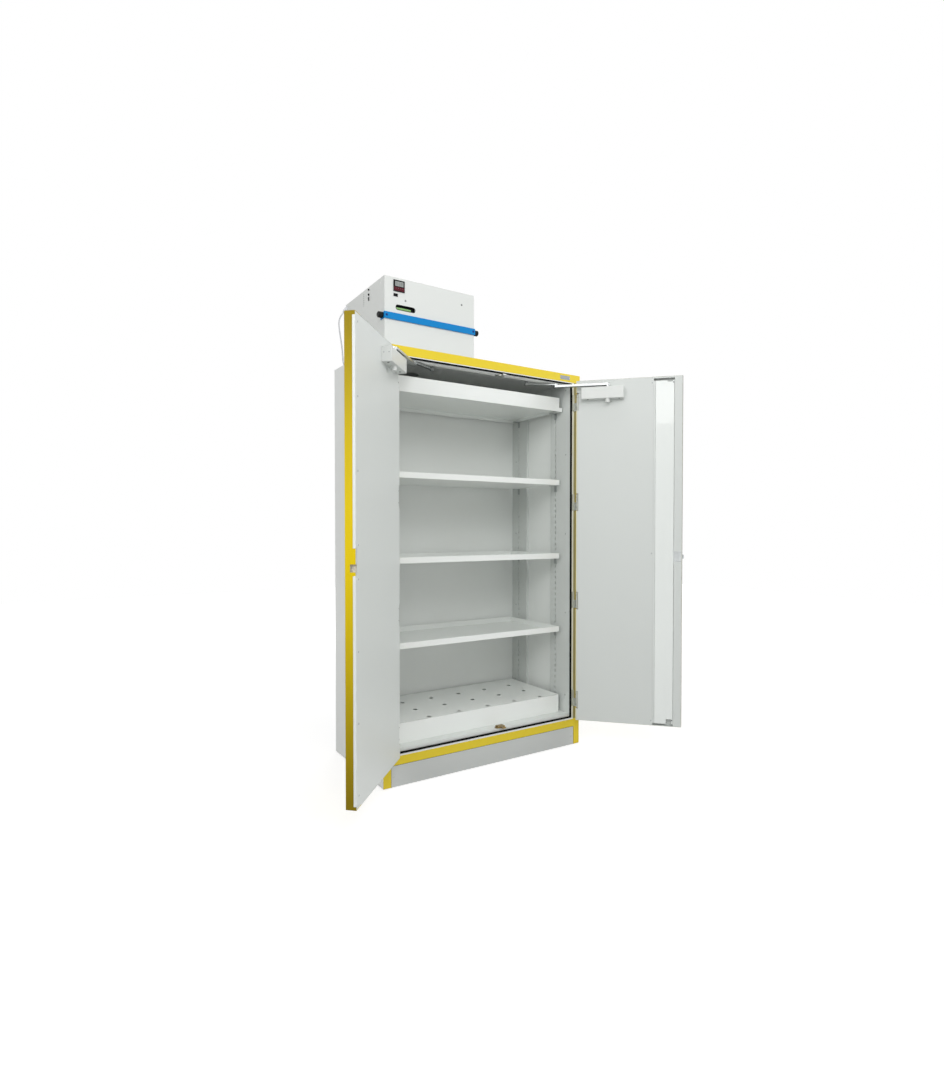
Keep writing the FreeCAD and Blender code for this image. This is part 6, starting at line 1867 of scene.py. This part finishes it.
@dataclass
class Door(Assembly):
    """One door leaf with its screws, hinges and edges. Places along it start at its hinge edge.

    Args:
        side: the side that it hangs on.
        trim_along: the edge trim's screws on the left door, along the leaf.
        trim_up: their heights.
        panel_along: the inner panel's screws on the right door, along the leaf.
        panel_up: their heights.
        cover_along: the lock cover's end screws, along the leaf.
        cover_up: their heights.
        strip_along: the free edge under the dark fire strip, along the leaf.
        strip_thick: how far the strip stands off it.
        strip_back: the strip from front to back.
        strip_up: the strip from foot to head.
        hinge_up: heights of the hinges.
        hinge_pitch: a hinge screw's distance from its hinge's middle.
        hinge_back: a hinge screw's distance from the frame's face.
    """

    side: Side
    trim_along: float = 512.0
    trim_up: tuple[float, ...] = (192.0, 450.0, 708.0, 967.0, 1089.0, 1353.0, 1617.0, 1880.0)
    panel_along: float = 380.0
    panel_up: tuple[float, ...] = (1884.0, 1022.0, 170.0)
    cover_along: float = 482.6
    cover_up: Span = (177.0, 1882.0)
    strip_along: float = 527.5
    strip_thick: float = 1.0
    strip_back: Span = (-14.0, -6.5)
    strip_up: Span = (150.0, 1909.0)
    hinge_up: tuple[float, ...] = (251.0, 772.0, 1286.0, 1807.0)
    hinge_pitch: float = 26.0
    hinge_back: float = -12.0

    @property
    def body(self) -> str:
        """Name of the door's body."""
        return f"{self.side.value}_door"

    def inner_seats(self, along: float, heights: Sequence[float], lift: float) -> list[Seat]:
        """Makes a column of seats on the inner face, as the door stands open.

        Args:
            along: the column's distance from the hinge edge.
            heights: the seats' heights.
            lift: how far they stand off the leaf's back.

        Returns:
            The seats.
        """
        across = self.side.on_door(along)
        turn = self.side.door_turn()
        return [seat(across, DOOR_BACK + lift, up, BACK).turned(turn) for up in heights]

    def build(self) -> None:
        """Dresses the leaf and adds its fittings."""
        name = self.side.value
        left = self.side is Side.LEFT
        dress(LEFT_YELLOW if left else RIGHT_YELLOW, 1.0, f"{name}_door_skin")
        dress(BOARD, 0.0, f"{name}_door_core")
        dress(LINER if left else LINER_SHADED, 1.0, f"{name}_door_inner_panel")
        dress(HINGE, 0.5, f"{name}_hinge_leaves")
        if left:
            self.edge_trim()
        else:
            self.fire_strip()
            self.panel_screws()
        self.hinge_screws()

    def edge_trim(self) -> None:
        """Trim on the left door's free edge, with its screws."""
        dress(LINER, 0.9, "left_door_edge_trim")
        seats = self.inner_seats(self.trim_along, self.trim_up, 1.4)
        self.kit.screws.place("trim_screws", seats, self.body, ZINC, seed=21)

    def fire_strip(self) -> None:
        """Dark fire strip down the right door's free edge."""
        edge = self.side.on_door(self.strip_along)
        strip = Work("edge_fire_strip", self.side.door_turn())
        strip.block((edge, edge - self.strip_thick), self.strip_back, self.strip_up)
        strip.deliver(self.body, SEAL, 0.3)

    def panel_screws(self) -> None:
        """Screws of the right door's inner panel and of the lock cover's ends."""
        seats = self.inner_seats(self.panel_along, self.panel_up, 0.2)
        self.kit.screws.place("panel_screws", seats, self.body, ZINC, seed=22, Head_radius=0.0036)
        ends = self.inner_seats(self.cover_along, self.cover_up, 0.9)
        sizes = {"Head_radius": 0.0027, "Head_height": 0.001}
        self.kit.screws.place("cover_screws", ends, self.body, DARK_STEEL, seed=23, **sizes)

    def hinge_screws(self) -> None:
        """Two countersunk screws in each hinge leaf on the door's edge."""
        across = self.side.on_door(0.0)
        turn = self.side.door_turn()
        seats = []
        for height in self.hinge_up:
            for up in (height - self.hinge_pitch, height + self.hinge_pitch):
                seats.append(seat(across, self.hinge_back, up, self.side.outward).turned(turn))
        name = f"{self.side.value}_hinge_screws"
        self.kit.screws.place(name, seats, self.body, DARK_STEEL, seed=31, Head_height=0.0008)


@dataclass
class LockSet(Assembly):
    """Lock cover, case, rods, handle, key and bolt of the right door.

    Args:
        side: the side of its door.
        cover_up: the cover from foot to head.
        flanges: each flange's name, its start and end along the door, and its drop.
        flange_thick: a flange's thickness.
        plate_along: the lock plate's screws, along the door.
        plate_back: their distance from the frame's face.
        plate_up: their heights.
        shield_along: the handle plate's screws, along the door.
        shield_back: their distance from the frame's face.
        shield_up: their heights.
    """

    side: Side = Side.RIGHT
    cover_up: Span = (158.0, 1893.0)
    flanges: tuple[tuple[str, float, float, float], ...] = (
        ("inner_recess_flange", 388.4, 395.2, 1.2),
        ("outer_recess_flange", 486.5, 487.7, 2.5),
    )
    flange_thick: float = 1.5
    plate_along: float = 505.0
    plate_back: float = -4.0
    plate_up: Span = (988.0, 1026.0)
    shield_along: float = 466.5
    shield_back: float = -49.0
    shield_up: Span = (905.0, 1059.0)

    def build(self) -> None:
        """Dresses the lock's nodes and screws its plates on."""
        dress(COVER, 1.4, "lock_cover")
        dress(ZINC, 0.5, "lock_case", "latch_bolt", "upper_lock_rod", "lower_lock_rod")
        dress(PLASTIC, 1.6, "door_handle")
        dress(ALUMINIUM, 0.5, "key_cylinder")
        self.fold_flanges()
        turn = self.side.door_turn()
        across = self.side.on_door(self.plate_along)
        plate = [seat(across, self.plate_back, up, BACK).turned(turn) for up in self.plate_up]
        sizes = {"Head_radius": 0.003, "Head_height": 0.0012}
        self.kit.screws.place("lock_plate_screws", plate, "right_door", ZINC, seed=41, **sizes)
        across = self.side.on_door(self.shield_along)
        shield = [seat(across, self.shield_back, up).turned(turn) for up in self.shield_up]
        sizes = {"Head_radius": 0.0034}
        self.kit.screws.place("escutcheon_screws", shield, "right_door", DARK_STEEL, seed=42, **sizes)

    def fold_flanges(self) -> None:
        """Folded flanges of the inner panel that the lock cover lies between."""
        for name, start, end, drop in self.flanges:
            across = (self.side.on_door(start), self.side.on_door(end))
            back = (DOOR_BACK - drop - self.flange_thick, DOOR_BACK - drop)
            strip = Work(name, self.side.door_turn())
            strip.block(across, back, self.cover_up)
            strip.deliver("right_door", LINER, 0.4)


@dataclass
class Closer(Assembly):
    """One overhead door closer. Places along the door start at its hinge edge.

    Args:
        side: the side of its door.
        ends: the body's ends, along the door.
        valve_backs: how far back the two screws in each end lie.
        valve_up: their height.
        plugs_along: the plugs under the body, along the door.
        plug_back: how far back they lie.
        plug_up: their height.
    """

    side: Side
    ends: Span = (28.0, 240.0)
    valve_backs: Span = (4.0, 26.0)
    valve_up: float = 1847.0
    plugs_along: Span = (60.0, 218.0)
    plug_back: float = 16.0
    plug_up: float = 1811.0

    def build(self) -> None:
        """Dresses the closer and adds its end screws and its plugs."""
        name = self.side.value
        body = f"{name}_door"
        dress(UNIT, 2.0, f"{name}_closer_body")
        dress(ZINC, 0.5, f"{name}_closer_arm", f"{name}_closer_rod")
        turn = self.side.door_turn()
        seats = []
        for along, way in zip(self.ends, (self.side.outward, self.side.inward)):
            across = self.side.on_door(along)
            seats += [seat(across, back, self.valve_up, way).turned(turn) for back in self.valve_backs]
        sizes = {"Head_radius": 0.0028, "Head_height": 0.001}
        self.kit.screws.place(f"{name}_closer_valves", seats, body, ZINC, seed=51, **sizes)
        under = []
        for along in self.plugs_along:
            across = self.side.on_door(along)
            under.append(seat(across, self.plug_back, self.plug_up, DOWN, RIGHTWARD).turned(turn))
        sizes = {"Head_radius": 0.005, "Head_height": 0.0016}
        self.kit.screws.place(f"{name}_closer_plugs", under, body, DARK_STEEL, seed=52, **sizes)


@dataclass
class FilterUnit(Assembly):
    """Filter and fan unit on the roof, with its clamp bar, window and side sockets.

    Args:
        left: the unit's left face.
        right: its right face.
        front: its front.
        window_across: the long window from left to right.
        window_up: the window from foot to head.
        shadow_block_back: the black block behind the window that paints the shadow in its recess, from front
            to back.
        shadow_block_margin: how far the block goes past the window.
        level_inset: the indicator's start, from the window's left end.
        level_back: its axis behind the frame's face.
        level_rise: its axis over the window's foot.
        level_shape: its radii and the distances at which they lie.
        status: the status lens, across and up.
        status_shape: its radii and how far they stand out.
        lamp: the filter lamp, across and up.
        lamp_shape: its radii and how far they stand out.
        lens_sunk: how far both are sunk into the front.
        bar_screws: the clamp bar's screws, from left to right.
        bar_face: the bar's face.
        bar_up: its middle height.
        ports: each port's height and radius.
        port_back: how far back the ports lie.
        plug_back: the square plug from front to back.
        plug_up: the plug from foot to head.
        plug_proud: how far it stands out.
        slots: slots in a column.
        slots_back: how far back they lie.
        slots_start: height of the lowest slot.
        slots_pitch: distance between slots.
        side_screws: the side's screws, back and up.
        vents: vents in the back.
        vents_pitch: distance between vents.
        vents_back: the back's face.
        vents_up: their middle height.
    """

    left: float = 52.0
    right: float = 530.0
    front: float = 90.0
    window_across: Span = (108.0, 207.0)
    window_up: Span = (2142.0, 2165.0)
    shadow_block_back: Span = (104.0, 106.0)
    shadow_block_margin: float = 4.0
    level_inset: float = 2.0
    level_back: float = 99.0
    level_rise: float = 8.0
    level_shape: tuple[Span, ...] = (
        (3.0, 0.0),
        (5.2, 2.0),
        (6.0, 8.0),
        (6.0, 72.0),
        (5.2, 76.0),
        (3.0, 78.0),
    )
    status: Span = (459.0, 2228.0)
    status_shape: tuple[Span, ...] = ((4.2, 0.0), (4.2, -1.6), (3.2, -2.6), (1.2, -3.0))
    lamp: Span = (157.0, 2189.5)
    lamp_shape: tuple[Span, ...] = ((4.6, 0.0), (4.6, -1.4), (3.6, -2.4), (1.4, -2.9))
    lens_sunk: float = 0.5
    bar_screws: Span = (60.0, 522.0)
    bar_face: float = 83.0
    bar_up: float = 2109.0
    ports: tuple[Span, ...] = ((2273.0, 3.8), (2250.0, 5.0))
    port_back: float = 262.0
    plug_back: Span = (258.0, 266.0)
    plug_up: Span = (2222.0, 2238.0)
    plug_proud: float = 3.0
    slots: int = 7
    slots_back: float = 322.0
    slots_start: float = 2214.0
    slots_pitch: float = 9.0
    side_screws: tuple[Span, ...] = ((118.0, 2262.0), (246.0, 2238.0), (278.0, 2238.0), (500.0, 2244.0))
    vents: int = 16
    vents_pitch: float = 20.0
    vents_back: float = 553.0
    vents_up: float = 2181.0

    def build(self) -> None:
        """Dresses the housings and adds every small fitting."""
        dress(UNIT, 0.25, "filter_lower_housing", "filter_upper_housing")
        dress(BLUE, 0.8, "clamp_bar")
        dress(FLEECE, 0.0, "filter_cassette")
        dress(ALUMINIUM, 0.5, "fan_motor")
        dress(ALUMINIUM, 0.2, "fan_impeller")
        dress(PLASTIC, 0.8, "left_clamp_knob", "right_clamp_knob", "rocker_switch")
        dress(PLASTIC, 1.0, "controller")
        self.window()
        self.front_dots()
        self.side_sockets()
        self.vent_rims()

    def window(self) -> None:
        """Indicator behind the long window, a black block behind it as painted shadow, and the window's rim.
        """
        left, right = self.window_across
        low, high = self.window_up
        margin = self.shadow_block_margin
        # Painted shadow: a black block behind the window darkens the recess round the indicator.
        shade = Work("indicator_shadow_block")
        shade.block((left - margin, right + margin), self.shadow_block_back, (low - margin, high + margin))
        shade.deliver("carcass", PLASTIC, 0.4)
        tube = Work("indicator_level")
        foot = (left + self.level_inset, self.level_back, low + self.level_rise)
        tube.turned(foot, self.level_shape, Axis.X, 24)
        tube.deliver("carcass", GLOWING_GREEN_LENS, 0.2)
        rim = [seat((left + right) / 2, self.front, (low + high) / 2, FRONT, RIGHTWARD)]
        sizes = {"Hole_length": (right - left) * MM, "Hole_width": (high - low) * MM, "Rim_radius": 0.0009}
        self.kit.rims.place("window_rim", rim, "carcass", PLASTIC, **sizes)

    def front_dots(self) -> None:
        """Status lens, filter lamp and the blue screws on the clamp bar."""
        dots = (("status_lens", self.status, self.status_shape), ("filter_lamp", self.lamp, self.lamp_shape))
        for name, (across, up), shape in dots:
            lens = Work(name)
            lens.turned((across, self.front + self.lens_sunk, up), shape, Axis.Y, 28)
            lens.deliver("carcass", GREY_LENS, 0.2)
        rings = [seat(across, self.front, up) for across, up in (self.status, self.lamp)]
        sizes = {"Bead_radius": 0.0048, "Bead_thickness": 0.0006}
        self.kit.beads.place("lens_rings", rings, "carcass", ALUMINIUM, **sizes)
        bar = [seat(across, self.bar_face, self.bar_up) for across in self.bar_screws]
        heads = {"Head_radius": 0.0055, "Head_height": 0.0026}
        self.kit.screws.place("clamp_bar_screws", bar, "carcass", BLUE_SCREW, seed=61, **heads)

    def side_sockets(self) -> None:
        """Sockets, slots and screws on the unit's left side."""
        face = self.left
        ports = Work("signal_ports")
        for up, radius in self.ports:
            rim = ((radius, 0.0), (radius, -3.0), (radius - 1.2, -5.0))
            well = ((radius - 2.6, -5.0), (radius - 3.0, -1.0))
            ports.turned((face + 0.4, self.port_back, up), (*rim, *well), Axis.X, 28)
        ports.deliver("carcass", PLASTIC, 0.2)
        plug = Work("port_plug")
        plug.block((face - self.plug_proud, face + 0.4), self.plug_back, self.plug_up)
        plug.deliver("carcass", PLASTIC, 0.8)
        heights = [self.slots_start + self.slots_pitch * index for index in range(self.slots)]
        rows = [seat(face - 0.1, self.slots_back, up, LEFTWARD) for up in heights]
        sizes = {"Cap_length": 0.005, "Cap_width": 0.0026, "Cap_height": 0.0004}
        self.kit.caps.place("side_slots", rows, "carcass", PLASTIC, **sizes)
        screws = [seat(face, back, up, LEFTWARD) for back, up in self.side_screws]
        self.kit.screws.place("side_screws", screws, "carcass", ZINC, seed=62, Head_radius=0.003)

    def vent_rims(self) -> None:
        """Rolled rims round the vents in the back."""
        first = (self.left + self.right) / 2 - (self.vents - 1) / 2 * self.vents_pitch
        places = [first + self.vents_pitch * index for index in range(self.vents)]
        seats = [seat(across, self.vents_back, self.vents_up, BACK, UPRIGHT) for across in places]
        sizes = {"Hole_length": 0.0704, "Hole_width": 0.0084, "Rim_radius": 0.0007}
        self.kit.rims.place("vent_rims", seats, "carcass", UNIT, **sizes)


@dataclass
class ControlPanel(Assembly):
    """Small controller over the window: its display and keys.

    Args:
        face: the controller's face.
        pane_across: the display's pane from left to right.
        pane_up: the pane from foot to head.
        pane_proud: how far it stands off the face.
        band_across: the band of keys from left to right.
        band_up: the band from foot to head.
        keys: keys in the band.
        key_start: middle of the first key.
        key_pitch: distance between keys.
        key_up: the keys' height.
        mark_up: height of the marks on them.
        mark_proud: how far the marks stand off the face.
        digits: digits on the display.
        digit_start: middle of the first digit.
        digit_pitch: distance between digits.
        flat_up: heights of a digit's level bars.
        tall_up: heights of its upright bars.
        tall_shift: how far these stand from the digit's middle.
    """

    face: float = 86.0
    pane_across: Span = (104.0, 145.0)
    pane_up: Span = (2247.0, 2268.5)
    pane_proud: float = 0.6
    band_across: Span = (98.5, 149.5)
    band_up: Span = (2226.5, 2243.0)
    keys: int = 4
    key_start: float = 108.0
    key_pitch: float = 11.0
    key_up: float = 2235.0
    mark_up: float = 2236.5
    mark_proud: float = 1.6
    digits: int = 3
    digit_start: float = 113.0
    digit_pitch: float = 11.5
    flat_up: tuple[float, ...] = (2251.4, 2257.8, 2264.2)
    tall_up: Span = (2254.6, 2261.0)
    tall_shift: float = 3.2

    def build(self) -> None:
        """Adds the display, its digits and the keys."""
        pane = Work("display_glass")
        pane.block(self.pane_across, (self.face - self.pane_proud, self.face + 0.4), self.pane_up)
        pane.deliver("carcass", GLOWING_DISPLAY, 0.4)
        self.show_digits()
        band = Work("key_band")
        band.block(self.band_across, (self.face - 0.5, self.face + 0.3), self.band_up)
        band.deliver("carcass", KEY_PLASTIC, 0.3)
        middles = [self.key_start + self.key_pitch * index for index in range(self.keys)]
        seats = [seat(across, self.face, self.key_up, FRONT, RIGHTWARD) for across in middles]
        sizes = {"Cap_length": 0.0085, "Cap_width": 0.0065, "Cap_height": 0.0016}
        self.kit.caps.place("panel_keys", seats, "carcass", KEY_PLASTIC, **sizes)
        top = self.face - self.mark_proud
        marks = [seat(across, top, self.mark_up, FRONT, RIGHTWARD) for across in middles]
        sizes = {"Cap_length": 0.0024, "Cap_width": 0.0012, "Cap_height": 0.0002}
        self.kit.caps.place("key_marks", marks, "carcass", GLOWING_DISPLAY, **sizes)

    def show_digits(self) -> None:
        """Seven-bar digits: plain eights, as a display shows when it tests itself."""
        back = self.face - self.pane_proud
        flat, tall = [], []
        for index in range(self.digits):
            middle = self.digit_start + self.digit_pitch * index
            flat += [seat(middle, back, up, FRONT, RIGHTWARD) for up in self.flat_up]
            for across in (middle - self.tall_shift, middle + self.tall_shift):
                tall += [seat(across, back, up, FRONT, UPRIGHT) for up in self.tall_up]
        sizes = {"Cap_length": 0.0046, "Cap_width": 0.0011, "Cap_height": 0.0002}
        self.kit.caps.place("display_bars", flat + tall, "carcass", PLASTIC, **sizes)


def main() -> None:
    """Builds the studio and the lead first, then every sub-assembly in order."""
    logging.basicConfig(level=logging.INFO, format="%(name)s: %(message)s")
    Studio().build()
    kit = Kit.make()
    MainsLead(kit).build()
    Carcass(kit).build()
    Interior(kit).build()
    Shelving(kit).build()
    for side in Side:
        Door(kit, side).build()
        Closer(kit, side).build()
    LockSet(kit).build()
    dress(HINGE, 0.5, "hinge_frame_leaves")
    dress(ZINC, 0.5, "closer_brackets")
    FilterUnit(kit).build()
    ControlPanel(kit).build()


if __name__ == "__main__":
    main()
